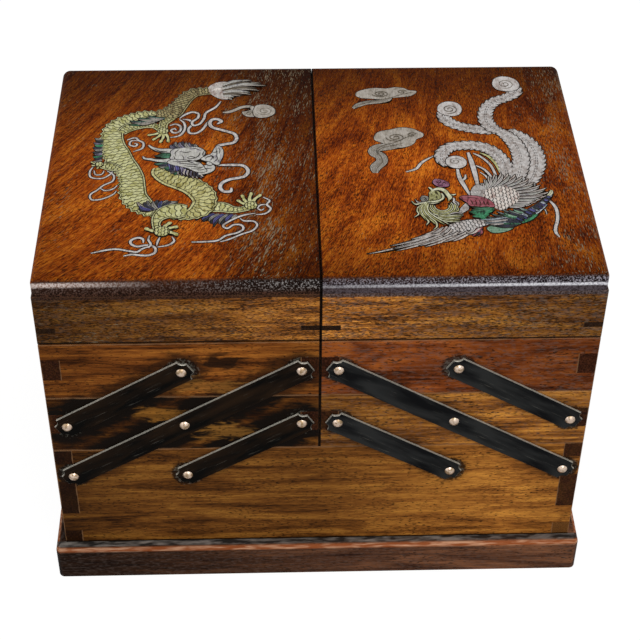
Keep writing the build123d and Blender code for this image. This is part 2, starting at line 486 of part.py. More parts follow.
def smooth(places, closed=False):
    """More places along a smooth curve through these (a Catmull-Rom spline)."""
    count = len(places)
    made = []
    for i in range(count if closed else count - 1):
        before = places[i - 1] if closed or i else places[0]
        near, far = places[i], places[(i + 1) % count]
        after = places[(i + 2) % count] if closed or i + 2 < count else places[-1]
        for step in range(INLAY_STEPS):
            t = step / INLAY_STEPS
            made.append(tuple(
                0.5 * (2 * b + (c - a) * t + (2 * a - 5 * b + 4 * c - d) * t * t
                       + (3 * b - a - 3 * c + d) * t ** 3)
                for a, b, c, d in zip(before, near, far, after)))
    return made if closed else made + [tuple(places[-1])]


def outline_face(places):
    """A flat face on the lid inside a closed outline of drawing places."""
    laid = [(DRAWING_CORNER[0] + DRAWING_SCALE[0] * x + DRAWING_SLANT * y,
             DRAWING_CORNER[1] + DRAWING_SCALE[1] * y + DRAWING_SLANT * x) for x, y in places]
    return make_face(Polyline(*laid, close=True))


def band(places):
    """A face that follows a middle line at the half width given with each place."""
    line = smooth(places)
    left, right = [], []
    for i, (x, y, half_width) in enumerate(line):
        x0, y0, _ = line[max(i - 1, 0)]
        x1, y1, _ = line[min(i + 1, len(line) - 1)]
        length = hypot(x1 - x0, y1 - y0)
        across = ((y0 - y1) / length * half_width, (x1 - x0) / length * half_width)
        left.append((x + across[0], y + across[1]))
        right.append((x - across[0], y - across[1]))
    return outline_face(left + right[::-1])


def stroke(half_width, places):
    """A thin band that tapers at both ends."""
    last = len(places) - 1
    return band([(x, y, half_width * (STROKE_TAPER if i in (0, last) else 1))
                 for i, (x, y) in enumerate(places)])


def disc(middle, radius):
    """A round face."""
    return outline_face([(middle[0] + radius * cos(2 * pi * i / PALM_SIDES),
                          middle[1] + radius * sin(2 * pi * i / PALM_SIDES))
                         for i in range(PALM_SIDES)])


def paw(palm, radius, tips):
    """A round palm with a tapering toe to each claw tip."""
    toes = [band([(*palm, radius * TOE_ROOT), (*tip, radius * TOE_TIP)]) for tip in tips]
    return [disc(palm, radius)] + toes


def inlay(faces):
    """The shell pieces: what these faces cover together, let in flush with the lid's top."""
    covered = fuse(faces)
    return [Pos(0, 0, LID_TOP - INLAY_T) * extrude(face, INLAY_T) for face in covered.faces()]


def dragon():
    """The dragon and its clouds, on the left lid."""
    faces = [band(places) for places in DRAGON_BANDS.values()]
    faces += [face for palm, radius, tips in DRAGON_PAWS.values() for face in paw(palm, radius, tips)]
    faces += [outline_face(smooth(places, True)) for places in DRAGON_PATCHES.values()]
    faces += [stroke(*line) for line in DRAGON_STROKES.values()]
    return inlay(faces)


def phoenix():
    """The phoenix and its clouds, on the right lid."""
    faces = [band(places) for places in PHOENIX_BANDS.values()]
    faces += [disc(*circle) for circle in PHOENIX_DISCS.values()]
    faces += [outline_face(smooth(places, True)) for places in PHOENIX_PATCHES.values()]
    faces += [stroke(*line) for line in PHOENIX_STROKES.values()]
    return inlay(faces)


def solids_of(shape):
    """Every solid in a shape or a list of shapes."""
    shapes = shape if isinstance(shape, list) else [shape]
    return [solid for item in shapes for solid in item.solids()]


def save(node, shape):
    """Write one node's solids to its own file."""
    solids = solids_of(shape)
    export_step(solids[0] if len(solids) == 1 else Compound(solids), f"parts/{node}.step")


def half(side):
    """Every part of one half, by node name. The left half is the mirror of the right."""
    hinge = hinges(LID_GAP[side])
    lower = tray(BASE_TOP + TIER_GAP, LOWER_TOP, LOWER_PIVOTS)
    upper = tray(LOWER_TOP + TIER_GAP, UPPER_TOP, UPPER_PIVOTS)
    upper["outer_side"] = upper["outer_side"] - hinge["tray_mortises"]
    rim = walls(SPLIT, HALF_W, UPPER_TOP + LID_GAP[side], RIM_TOP, RIM_FINGERS)
    made = {f"{side}_lower_tray_{name}": shape for name, shape in lower.items()}
    made |= {f"{side}_upper_tray_{name}": shape for name, shape in upper.items()}
    made |= {
        f"{side}_lid_top": lid_top(),
        f"{side}_lid_front_rim": rim["front"],
        f"{side}_lid_rear_rim": rim["rear"],
        f"{side}_lid_inner_rim": rim["left"],
        f"{side}_lid_outer_rim": rim["right"] - hinge["lid_mortises"],
        f"{side}_hinge_tray_leaves": hinge["tray_leaves"],
        f"{side}_hinge_lid_leaves": hinge["lid_leaves"],
        f"{side}_hinge_pins": hinge["pins"],
    }
    made |= {f"{face}_{side}_{name}": shape for (face, name), shape in arms().items()}
    if side == "right":
        return made
    return {name: [mirror(solid, Plane.YZ) for solid in solids_of(shape)]
            for name, shape in made.items()}


def base():
    """The plinth board and the base box on it, by node name."""
    both = [(sign * x, z) for x, z in BASE_PIVOTS for sign in (-1, 1)]
    holes = pin_holes(both)
    boards = walls(-HALF_W, HALF_W, PLINTH_H, BASE_TOP, BASE_FINGERS)
    return {
        "plinth": plinth_board(),
        "base_front": boards["front"] - holes,
        "base_rear": boards["rear"] - holes,
        "base_left_side": boards["left"],
        "base_right_side": boards["right"],
        "base_pivot_pins": pivot_pins(both),
    }


def main():
    parts = {**base(), **half("right"), **half("left")}
    parts["dragon_inlay"] = dragon()
    parts["phoenix_inlay"] = phoenix()
    parts["left_lid_top"] = parts["left_lid_top"][0] - fuse(parts["dragon_inlay"])
    parts["right_lid_top"] -= fuse(parts["phoenix_inlay"])
    for node, shape in parts.items():
        save(node, shape)


main()
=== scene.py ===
"""An expanding box of dark red hardwood with shell inlay, dressed for its portrait.

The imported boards, arms, pins and hinges are taken as they are and get their finishes. The shell
dragon and phoenix are made here as raised, engraved pieces in the lids' pockets.
Lengths in this file are millimetres and the scene is in metres.
"""

from math import cos, pi, radians, sin

import bpy
import numpy as np
from mathutils import Matrix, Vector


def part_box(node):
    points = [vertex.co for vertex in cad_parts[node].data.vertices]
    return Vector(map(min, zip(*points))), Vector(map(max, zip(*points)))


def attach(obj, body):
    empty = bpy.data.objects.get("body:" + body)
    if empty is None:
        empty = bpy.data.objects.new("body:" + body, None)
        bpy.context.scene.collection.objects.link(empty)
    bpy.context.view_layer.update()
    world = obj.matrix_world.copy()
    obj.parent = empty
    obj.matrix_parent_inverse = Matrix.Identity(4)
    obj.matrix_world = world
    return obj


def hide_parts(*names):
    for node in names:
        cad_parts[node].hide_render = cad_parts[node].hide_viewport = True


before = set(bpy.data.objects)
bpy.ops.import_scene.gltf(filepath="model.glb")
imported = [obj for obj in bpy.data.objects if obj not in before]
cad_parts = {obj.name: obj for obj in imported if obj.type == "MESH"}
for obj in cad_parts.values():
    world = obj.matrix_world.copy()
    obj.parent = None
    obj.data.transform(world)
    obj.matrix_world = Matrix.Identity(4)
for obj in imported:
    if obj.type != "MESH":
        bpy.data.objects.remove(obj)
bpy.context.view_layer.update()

bl_info = {
    "name": "Expanding box",
    "version": (1, 0, 0),
    "blender": (4, 5, 0),
    "location": "3D View > Sidebar > Expanding Box",
    "description": "Finishes, shell inlay and stage for an expanding hardwood box",
    "category": "Add Mesh",
}

MM = 0.001
LID_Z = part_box("left_lid_top")[1].z / MM

# How the drawing of the inlay lies on the lids: its corner, its scale and its slant
DRAWING_CORNER = (0.46, -102.33)
DRAWING_SCALE = (0.996, 0.993)
DRAWING_SLANT = -0.0037
# The inlay: depth of the walls, width of the black lacquer round a piece, widened to be painted
# shade along the pieces' edges as well, and how far the shell draws back from it, height of one
# layer, width of the rounding, spacing of the places, steps between two drawn places
SINK = 0.5
RIM = 0.42
INSET = 0.08
LEVEL = 0.12
EDGE = 0.55
GRID = 0.25
FINE = 10
# Height of the lacquer's bed over its level, spacing of the places and strips across on it, and
# height of the shell's cushion
BED = 0.02
BED_STEP = 0.5
BED_STRIPS = 4
CROWN = 0.11
# Share of the way to the middle line that a patch's innermost ring is drawn in, and where its
# pattern starts
INNERMOST = 0.94
PATTERN_START = 60.0
# The engraving: spacing of hair lines, width and spacing of border plates, share by which they
# are wider on the belly, spacing of a plume's notches and of a back's spines, place of a spine's
# tip, half widths of a line and of a spiral and the strips across them
HAIR_LANE = 0.8
PLATE = 1.0
TICK = 1.9
BELLY_SHARE = 1.7
BARB_PERIOD = 3.9
SPINE_PERIOD = 3.6
SPINE_TIP = 0.62
ENGRAVED = 0.22
WOUND = 0.2
LINE_STRIPS = 2
# A scale by shares of its size: spacing of the rows, spacing along a row, and radius
ROW_SHARE = 0.66
WIDTH_SHARE = 1.05
RADIUS_SHARE = 0.74
# A plume: spacing of the quill's dashes, distance of its two lines from the middle, spacing of
# the barbs, how far barbs and notches run on for each millimetre across, depth of a notch by
# the length of the barbs, and its half width at the edge
QUILL_DASH = 2.6
QUILL_HALF = 0.5
BARB_SPACING = 1.2
BARB_SLANT = 1.1
NOTCH_SLANT = 0.7
NOTCH_DEPTH = 1.7
NOTCH_HALF = 0.5
# Bent strokes, each place by shares of the way, of the bend and of the half width
TOE = ((0, 0, 0.42), (0.5, 1, 0.3), (0.76, 0.6, 0.24), (0.93, 0, 0.33), (1.05, 0, 0.2))
LOCK = ((0, 0, 0.8), (0.5, 1, 1), (0.82, 0.62, 0.62), (1, 0, 0.1))
# Bend of a toe, how much shorter every other lock is, and how many levels it stands higher
TOE_BEND = 0.08
LOCK_SHORT = 0.16
LOCK_LIFT = 0.7
# Spacing of the places on the lines that a run of locks starts and ends on
ROOT_STEP = 0.1
# A palm: places round it, share of its radius to the ends of its middle line, size of its scales
PALM_PLACES = 12
PALM_SPINE = 0.2
PALM_SCALES = 2.6
# A spiral: places in one turn and the share of its radius that it winds in
TURN_PLACES = 16
WINDS_IN = 0.86
# A stroke thins towards its end from so many places before it
THINS_FROM = 1.6
# Places of an outline are so many steps apart
OUTLINE_STEPS = 1.4
# Shares of a stroke's half width at its start and its end: strokes, rings and locks of the mane
STROKE_ENDS = (0.6, 0.5)
RING_ENDS = (0.8, 0.5)
LOCK_ENDS = (0.8, 0.4)
# Half width of the mane's rings and how many levels every other ring or lock stands higher
RING_HALF = 0.5
MANE_LIFT = 0.4
# Level of the mane's bed, with the rings one level above it and the locks two, and the places
# that a ring is drawn through
MANE_LEVEL = 2
RING_PLACES = 12
# Patterns of the wood: length along the grain and width across it, or sizes along X, Y and Z
STREAKS = (42, 1.5)
WISPS = (9, 3.5)
BLOT_EDGES = (14, 4)
PORE_CROWDS = (26, 9)
WAX_DASHES = (4.2, 0.4)
WAX_CROWDS = (26, 12)
SCRAPES = (1.6, 1.6, 1.6)
HAZE_CLOUDS = (3.5, 3.5, 1.2)
END_SPECKS = (1.1, 1.1, 0.8)
RUBBED = (7, 7, 7)
# Patterns of the shell, the lacquer and the metal: sizes along X, Y and Z
SHELL_CLOUDS = (4, 4, 4)
SHELL_GLOW = (2.4, 6, 4)
GROWTH_LINES = (0.5, 3.5, 3.5)
LACQUER_DUST = (1.6, 1.6, 1.6)
BLOOM_CLOUDS = (40, 14, 9)
SCRATCHES = (16, 1, 0.35)
FLECKS = (1.3, 1.3, 1.3)
TOOL_MARKS = (0.3, 0.3, 0.3)
# Each kind of arm's pivots in the right front quarter: X and Z of the first and the last
PIVOTS = {
    "long_arm": ((140.0, 83.0), (10.0, 163.4)),
    "lower_short_arm": ((75.0, 83.0), (10.0, 123.2)),
    "upper_short_arm": ((140.0, 123.2), (75.0, 163.4)),
}
# The front and rear boards' outer faces lie this far from the middle, and soot with painted
# shadow round the arms fades so many times faster behind them
OUTER_FACE = 100
DEPTH_SHARE = 3
# Soot and painted shadow round the arms: how far the wisps carry its edge, how far it reaches
# when it is thin and how much farther when thick, width of its fade, and where its ring of soot
# round a pivot fades
WISP_CARRY = 14.0
SOOT_AND_SHADE_REACH = 17.0
SOOT_AND_SHADE_SPREAD = 10.0
SOOT_AND_SHADE_FADE = 8.0
SOOT_RING = (12.6, 11.0)
# Specular level of black lacquer and blackened steel
DULL = 0.03
# An arm's end starts its painted highlight so far before its pivot and has it in full so far beyond
# it
SHINE_BEFORE = 3
SHINE_BEYOND = 2

# The dragon's scaled bands: (level, shell, scale size, belly side, places), each place (x, y,
# half width)
SCALED = {
    "tail": (1, "bronze", 2.7, 0, [
        (-60.6, 176.4, 3.2), (-69.6, 174.9, 4.0), (-74.9, 169, 4.4), (-78.7, 160.8, 4.9),
        (-83.5, 153.5, 6.0), (-91.5, 152, 3.6)]),
    "body": (0, "gold", 3.8, 0, [
        (-92, 153.6, 1.6), (-99, 152.3, 3.2), (-106, 149, 3.8), (-112, 144, 4.8),
        (-115.4, 137.4, 5.7), (-115.8, 129, 6.2), (-114.6, 121.8, 6.6), (-112.6, 114.5, 7.6),
        (-109.8, 106.5, 7.6), (-105.6, 98.9, 7.0), (-102.6, 90.6, 6.8), (-101.8, 82.3, 7.1),
        (-100.6, 73.9, 7.2), (-96.4, 66.4, 6.8), (-91.4, 60.6, 4.6), (-88, 57.6, 2.4)]),
    "neck": (2, "olive", 4.3, -1, [
        (-89.4, 99.6, 2.2), (-87.8, 95, 4.6), (-82.3, 90, 6.2), (-75.6, 86, 6.6),
        (-68.8, 81.7, 7.1), (-63.6, 75, 7.2), (-62.1, 67.7, 6.5), (-64.9, 60.6, 6.0),
        (-70.9, 56.6, 4.0), (-79.2, 55.6, 2.4)]),
    "upper_thigh": (1, "gold", 2.8, 0, [
        (-111, 134.5, 3.0), (-106.5, 139.5, 4.0), (-100, 142, 3.8), (-93, 141, 2.4),
        (-88.6, 137.4, 2.4)]),
    "hip": (1, "olive", 2.2, 0, [(-84.5, 149.5, 4.6), (-87, 143.5, 2.8), (-87.4, 137, 2.6)]),
    "fore_thigh": (4, "gold", 4.8, 0, [
        (-71.4, 59.6, 4.8), (-76.1, 59.8, 6.4), (-82.6, 58.4, 5.6), (-86.8, 53.4, 3.4),
        (-87.4, 47.4, 2.3), (-85.4, 42.6, 3.2)]),
    "hind_leg": (1, "gold", 3.9, 0, [
        (-58.5, 63.6, 4.6), (-52.2, 63.2, 4.4), (-47, 61, 3.2), (-41.6, 61.2, 2.3),
        (-37, 63.6, 3.0)]),
    "left_leg": (1, "gold", 2.8, 0, [
        (-109.5, 98.5, 2.2), (-115, 101.2, 3.6), (-120.5, 102.6, 2.6), (-124.8, 105, 1.2)]),
}
# Paws: (level, palm, palm radius, claw tips)
PAWS = {
    "upper_paw": (2, (-87.2, 135.4), 3.0, (
        (-95.4, 131.3), (-92.4, 126.8), (-88.2, 124.2), (-83.6, 124.8))),
    "fore_paw": (5, (-84.2, 41.8), 4.0, ((-93, 44.5), (-80, 49.6), (-76.2, 46), (-75.8, 39.2))),
    "hind_paw": (2, (-36.6, 64.4), 3.4, ((-44, 69), (-41.6, 73.4), (-36.5, 75.6), (-31.6, 73.8))),
    "left_paw": (2, (-121.6, 103.4), 2.2, ((-126.2, 105.6), (-125.6, 102.2), (-122.4, 99.6))),
}
# The horns, each place (x, y, half width)
HORNS = (
    [(-77, 115.2, 1.9), (-83, 115.8, 2.0), (-88, 116.2, 1.6), (-92, 118.2, 1.0),
     (-94.8, 121.2, 0.6)],
    [(-77, 106.8, 1.9), (-83, 106.4, 1.9), (-88, 106.6, 1.6), (-93, 107.6, 1.0),
     (-96.4, 108.4, 0.8), (-97.4, 110.4, 0.5)],
)
HORN_LEVEL = 3
# Rows of spines along a band: its side as the band runs, and the length of a spine
SPINES = {"tail": ("right", 1.7), "body": ("right", 1.5), "neck": ("left", 0.8)}
# Pearl pieces of the dragon's head and tail: (level, middle line, outline)
DRAGON_PEARL = {
    "tail_root": (1, [(-60, 177), (-56, 180), (-52, 179)], [
        (-62.4, 179), (-60, 183.4), (-56, 186), (-51, 186.2), (-48.6, 183), (-47, 178), (-48, 172),
        (-50, 168), (-54.4, 168.2), (-58.6, 171.4), (-61.4, 175)]),
    "skull": (4, [(-77, 111.6), (-72, 112), (-67, 112.6)], [
        (-82, 114.8), (-80, 117.2), (-76, 118), (-72, 119), (-68, 119), (-64.6, 117.6),
        (-62.4, 114), (-63.6, 109.6), (-66.6, 106.6), (-71.4, 105.4), (-76.6, 105.6), (-82, 107.6),
        (-81.6, 111)]),
    "cheek": (5, [(-78, 103.4), (-71, 101.4), (-65.6, 98.4)], [
        (-83.6, 104.2), (-81, 106.8), (-76.4, 106.8), (-71.4, 105.8), (-66.6, 104.6), (-64, 102),
        (-62.4, 98.6), (-61.4, 95.6), (-64.4, 94.6), (-68, 95.6), (-71.6, 98.4), (-76.4, 100.4),
        (-80.2, 101.6)]),
    "muzzle": (5, [(-59.6, 108.6), (-56.4, 107.6), (-54.8, 114)], [
        (-64.8, 107.4), (-61.6, 110.6), (-59, 112.4), (-57.6, 116.6), (-56, 119.6), (-54, 119),
        (-52.4, 115.6), (-52.4, 110), (-53.6, 105.4), (-54.8, 101.6), (-57.4, 102.4), (-60, 104.6),
        (-62.8, 105.6)]),
    "jaw": (4, [(-62.6, 97.4), (-59, 98)], [
        (-65.6, 98.4), (-62.4, 101.4), (-58.6, 102.2), (-56.8, 100), (-57.2, 96.8), (-59.6, 94.4),
        (-62.6, 93), (-66, 92), (-66.6, 94.6)]),
    "teeth": (6, [(-60.4, 103), (-59.4, 102)], [
        (-61.6, 102.6), (-60.6, 104.4), (-59, 103.4), (-58.4, 101.6), (-60, 101)]),
}
# Lines engraved in the dragon's head: (level, half width, places)
DRAGON_LINES = (
    (5, 0.2, [(-77.4, 116.4), (-79.4, 113.4), (-79, 110)]),
    (5, 0.2, [(-73.4, 118), (-68.4, 117.4), (-64.8, 115)]),
    (5, 0.24, [(-72.6, 108.4), (-70.4, 109.6), (-68.2, 108.4), (-70.4, 107.4), (-72.4, 108)]),
    (5, 0.3, [(-68, 108), (-66, 110.6), (-65.4, 113.4)]),
    (6, 0.22, [(-80.6, 105), (-76, 104.8), (-71.4, 104.4), (-67.4, 102)]),
    (6, 0.26, [(-72.4, 101.6), (-68.6, 101.6), (-65.4, 102.4)]),
    (6, 0.22, [(-68.4, 99.6), (-65.4, 99), (-62.8, 99.6)]),
    (6, 0.22, [(-66.6, 96.6), (-64.4, 96.6), (-62.6, 97.4)]),
    (6, 0.3, [(-62.4, 107.4), (-60.4, 109.4), (-58, 109.4), (-57.4, 106.6)]),
    (6, 0.24, [(-57.4, 104.4), (-55.6, 106.6), (-55.8, 110)]),
    (6, 0.22, [(-54.6, 112), (-54.2, 115.4), (-55.2, 118)]),
    (6, 0.22, [(-58.4, 113.4), (-56.8, 113.4), (-55.4, 114.4)]),
    (5, 0.5, [(-72.6, 106.2), (-71.2, 105.2), (-69.8, 105.8)]),
    (5, 0.22, [(-75.6, 110.8), (-74.4, 108.4), (-74.8, 106.2)]),
    (5, 0.22, [(-80.2, 110.4), (-79.4, 107.6), (-77.6, 105.6)]),
    (5, 0.25, [(-77, 114.6), (-73.4, 113.6), (-70.4, 114.6)]),
    (6, 0.35, [(-68.6, 105.6), (-66.4, 104.2), (-64.4, 105)]),
    (6, 0.5, [(-54.8, 106), (-54.4, 103.4)]),
    (5, 0.25, [(-62.8, 115.4), (-63.8, 111.6), (-62.6, 108.4)]),
    (6, 0.25, [(-59.8, 111.2), (-58.2, 108.6), (-59.4, 105.6)]),
    (6, 0.22, [(-56.6, 117), (-55.8, 112), (-56.4, 108)]),
    (6, 0.22, [(-78, 103.8), (-73.6, 102.6), (-69.4, 103.2)]),
    (6, 0.22, [(-74, 100.8), (-70, 99.8), (-66.4, 100.6)]),
    (6, 0.22, [(-70, 97.8), (-66.4, 97.6), (-63.6, 98.8)]),
    (5, 0.25, [(-64.4, 96.6), (-61.4, 98), (-58.6, 98)]),
    (5, 0.22, [(-84, 114.6), (-88, 115), (-91, 116.8)]),
    (5, 0.22, [(-84, 107.8), (-88, 107.4), (-92, 108)]),
)
# The clouds by creature: (level, middle line, outline)
CLOUDS = {
    "dragon": [
        (1, [(-31, 155.4), (-28, 155.6)], [
            (-34.6, 158.2), (-33.4, 161), (-29.4, 162), (-25.4, 160.6), (-22.6, 157),
            (-22.8, 152.4), (-26.4, 149.2), (-31, 148.2), (-34.4, 150), (-35.4, 154.2)]),
        (0, [(-39, 152.2), (-36, 153)], [
            (-41.8, 154.4), (-40, 150.6), (-36.4, 149.4), (-33.4, 150.6), (-33, 157),
            (-34.8, 160.2), (-37.6, 160.6), (-36.6, 157.4), (-38.6, 155.6)]),
    ],
    "phoenix": [
        (0, [(30, 172.6), (38, 173.4), (50, 174), (57, 174.2)], [
            (25.8, 170.8), (26.6, 174.6), (31.4, 177.4), (37.4, 178.8), (44, 178.2), (50, 179.4),
            (54.8, 178.4), (57.4, 176.2), (61.8, 175.2), (61.4, 172.8), (58, 170), (53, 169),
            (47.8, 168.2), (40, 166.8), (33.4, 167.6), (28.4, 168.4)]),
        (0, [(38, 128.6), (46, 128), (58, 130.6)], [
            (34.2, 128.6), (37, 133.2), (43.8, 135.4), (50, 137.4), (56.4, 136.4), (59.8, 133.8),
            (62.6, 131.2), (62, 128), (58.4, 125.6), (56.8, 121.8), (53.4, 118.8), (47.6, 117.4),
            (42.4, 120.4), (37.8, 122.6), (34.4, 125)]),
    ],
}
# Tapered tails of the clouds by creature: (level, half width, places)
CLOUD_TAILS = {
    "dragon": [
        (0, 1.2, [
            (-53, 154.2), (-49.4, 154.6), (-45.6, 156.8), (-42, 159.4), (-37.6, 160.2),
            (-35.2, 158.8)]),
    ],
    "phoenix": [
        (0, 1.9, [
            (23.4, 157.6), (26.8, 160.8), (32, 163.2), (38.4, 164.2), (44.4, 166.4),
            (46.8, 169.6)]),
        (0, 3.3, [
            (32.8, 93.4), (33.4, 98.8), (37, 104), (36.8, 109), (33.2, 113), (35, 117), (42, 118.6),
            (50, 119.4)]),
    ],
}
# Lines engraved along the clouds' tails
CLOUD_LINES = (
    [
        (59, 131), (52, 127), (46, 122.6), (39, 119.6), (34.6, 115), (36.6, 109.6), (37.6, 104),
        (34.4, 98.6), (33.2, 94.4)],
    [(50, 121.4), (44, 119.2), (38, 117), (35.2, 113.4)],
    [(60, 174), (52, 171), (46, 168), (40, 166), (33, 163.6), (27, 160.4)],
)
# Spiral lines engraved in the clouds and curls: (middle, outer radius, turns, squash, start)
SPIRALS = {
    "dragon": [((-28.6, 155.2), 4.6, 1.9, 0.92, 200), ((-37.6, 152.6), 2.2, 1.2, 0.9, 20)],
    "phoenix": [
        ((40.4, 172.2), 5.2, 2.1, 0.62, 190),
        ((53.4, 174), 3.0, 1.4, 0.7, 20),
        ((46.4, 127.2), 5.6, 2.1, 0.72, 170),
        ((56, 129.6), 2.8, 1.3, 0.8, 30),
        ((115.8, 181.6), 5.2, 1.8, 0.95, 250),
        ((80, 155.4), 4.8, 1.9, 0.95, 250),
        ((78.4, 103.2), 3.8, 1.7, 0.8, 10)],
}
# The dragon's whiskers, ribbons and curls: (level, half width, places)
DRAGON_STROKES = {
    "upper_whisker": (2, 1.15, [
        (-55, 116), (-55.4, 120), (-51, 122), (-46.6, 123.4), (-44.8, 127.4), (-46.4, 132.2),
        (-52.2, 135.4), (-58.6, 138.6), (-60.4, 142.6), (-59.2, 146.4), (-56, 147), (-53.8, 144.6),
        (-56, 142.2)]),
    "lower_whisker": (2, 1.15, [
        (-56, 101.6), (-48, 101.8), (-41, 101), (-38.2, 95.8), (-40.8, 90.6), (-48, 88.4),
        (-52.4, 85.2), (-53.6, 81), (-51.8, 77.4), (-48, 77.2), (-47.4, 80.4)]),
    "long_ribbon": (1, 0.85, [
        (-54.3, 165.6), (-57.4, 159.4), (-62.8, 153.6), (-64, 147.4), (-66.4, 142.4), (-69.8, 141),
        (-70.6, 144.6), (-67.6, 148.4), (-67.2, 152.6), (-70.6, 154.6), (-75, 152), (-78, 148.2)]),
    "inner_ribbon": (0, 0.85, [
        (-59.4, 148), (-62, 143.2), (-64.6, 137), (-68, 133.4), (-71.8, 133.6), (-72.6, 137.6),
        (-70.8, 142), (-72.2, 146.4), (-76.4, 147.4)]),
    "outer_curl": (0, 0.8, [
        (-78, 147.2), (-75.2, 143.4), (-74.8, 137), (-77.6, 131), (-83, 129.2)]),
    "inner_curl": (0, 0.8, [
        (-83.6, 141), (-80.2, 142.6), (-77.2, 140), (-77.6, 135.4), (-80.6, 133.8), (-82.6, 136),
        (-80.8, 138), (-79.6, 136.6)]),
    "body_curl": (0, 0.75, [
        (-107.4, 127), (-103, 129.2), (-100.8, 126.6), (-98, 124), (-98.4, 118.8),
        (-103.4, 115.6)]),
    "body_curl_eye": (0, 0.7, [
        (-100.8, 126.2), (-104.8, 126.2), (-105.6, 122.4), (-102.4, 120.8), (-101.4, 123),
        (-103.2, 123.8)]),
    "left_ribbon": (0, 0.65, [
        (-124.6, 102), (-126.4, 97), (-125.4, 91.6), (-119.6, 90.4), (-115.4, 93.6),
        (-113.6, 97.4)]),
    "left_inner": (0, 0.6, [(-118.6, 97.6), (-119.6, 94.4), (-123, 94), (-124.2, 98)]),
    "left_loop": (0, 0.65, [
        (-117, 97.6), (-113, 93.4), (-113.2, 88), (-118, 84), (-121, 79.8), (-124.6, 75.6),
        (-123.4, 71), (-118, 71.6), (-112.4, 75.4), (-110.6, 79)]),
    "left_link": (0, 0.65, [(-119.4, 81.2), (-116.6, 79.2), (-112.4, 80.8), (-110.4, 84)]),
    "front_ribbon": (1, 0.75, [
        (-120.6, 24.6), (-112.5, 27.2), (-107, 27.8), (-101, 26.2), (-96.5, 25.4), (-93.8, 28),
        (-88.6, 30.6)]),
    "front_loop": (0, 0.85, [
        (-103.4, 22.2), (-99, 23.4), (-94, 22.6), (-90, 22.8), (-87, 25.2), (-87.6, 29.4),
        (-92, 31), (-96.6, 30), (-99.8, 32), (-100.2, 35.2), (-96.8, 37.4), (-94, 36.2),
        (-93.6, 33)]),
    "front_hook": (0, 0.75, [(-86, 29.4), (-80.4, 31), (-77.4, 34.4), (-78.6, 38)]),
    "front_stem": (1, 0.7, [(-90.6, 39), (-91, 35.4), (-89.6, 31.8), (-90.6, 28.6)]),
    "front_stalk": (1, 0.7, [(-84.8, 38.4), (-86, 34), (-86.4, 30.4)]),
    "rear_ribbon": (1, 0.75, [
        (-68.2, 33.2), (-61.5, 33.4), (-54.4, 34.4), (-50, 38.4), (-44, 40.8), (-40.8, 44),
        (-42, 47.4), (-46, 47.6), (-49.4, 44.6), (-51.6, 47), (-49, 50.2), (-43.9, 54.2),
        (-39.7, 56.3), (-34.4, 57.6)]),
    "rear_loop": (0, 0.7, [
        (-53, 33.4), (-48, 35.6), (-41.8, 39.6), (-35.8, 42.8), (-33.4, 47.4), (-35.4, 50.8),
        (-40.4, 51.2), (-42.6, 53.6)]),
    "paw_loop": (0, 0.7, [
        (-30, 72), (-26.6, 69), (-28, 65.4), (-26, 62), (-27.2, 59), (-30, 57), (-34, 56.6)]),
    "paw_curl": (0, 0.65, [(-28, 65.4), (-31.4, 65), (-33, 62.4), (-31.2, 60.4), (-29.6, 61.8)]),
}
# Hair and flames: (level, shells in turn, locks, half width, bend, roots, tips)
DRAGON_LOCKS = {
    "tail_tuft": (1, ("oyster", "white", "oyster", "umber"), 15, 1.1, 0.10,
        [(-53, 184), (-53.6, 177), (-52.6, 170.4)],
        [
            (-42, 187), (-38, 188.6), (-31, 184.8), (-26.4, 183.4), (-29.4, 179.4), (-33, 175),
            (-37, 172), (-44, 170.4), (-47.6, 167)]),
    "brow_hair": (3, ("violet", "night", "smoke"), 9, 1.1, 0.18,
        [(-79.4, 117.4), (-73, 118.4), (-67.4, 118.8)],
        [(-82, 121.6), (-79.4, 124.4), (-74, 124.6), (-68, 121.8)]),
    "cheek_hair": (2, ("green", "leaf_dark"), 5, 1.0, 0.05, [(-81, 113.2), (-81.2, 108.8)], [
        (-88, 113.2), (-91.4, 111.6), (-87.4, 109)]),
    "mane_rear": (3, ("green", "night", "smoke", "leaf_dark"), 8, 1.2, 0.12,
        [(-82.4, 104.4), (-80, 99), (-78, 95)],
        [(-91, 103.6), (-88.4, 100.6), (-84, 97.4), (-80.4, 93)]),
    "mane_blue": (4, ("indigo", "night", "violet"), 7, 1.1, 0.10,
        [(-82.6, 103.8), (-78.6, 101.4), (-74, 98.6)],
        [(-82, 97.4), (-78, 94.6), (-73.6, 92.4)]),
    "beard": (4, ("pearl", "night", "violet", "fan", "night"), 14, 0.62, -0.10,
        [(-75.8, 99.4), (-70.6, 96.2), (-64.4, 93.6)],
        [(-77, 92.4), (-71.4, 90.4), (-67.4, 88.8), (-62.6, 89.6)]),
    "back_flame": (0, ("smoke", "night", "violet", "leaf", "night"), 12, 1.1, 0.2,
        [(-120.6, 128), (-120.8, 118), (-120.6, 106)],
        [(-125.8, 129.4), (-126.4, 121.4), (-126, 114), (-125, 104.4)]),
    "hip_flame": (2, ("green", "smoke", "leaf_dark", "oyster"), 9, 1.1, 0.1,
        [(-86.6, 148), (-90, 146.4), (-93.4, 144)],
        [(-96, 150.8), (-105, 147.4), (-109, 142.6), (-101.4, 142)]),
    "fore_flame": (3, ("smoke", "night", "oyster", "indigo", "night", "smoke"), 11, 1.2, 0.12,
        [(-84, 64.6), (-87.6, 61.6), (-92, 60.4)],
        [(-76.4, 67.8), (-84, 69.8), (-92, 69.6), (-98.6, 68.2), (-97.4, 63)]),
    "hind_flame": (0, ("night", "indigo", "night", "smoke"), 12, 1.0, -0.12,
        [(-57.6, 57.4), (-50, 57), (-44.4, 56.4)],
        [(-66.4, 51.6), (-62.4, 50.4), (-58, 48.6), (-57.6, 46), (-52.4, 47.6), (-47, 51)]),
}
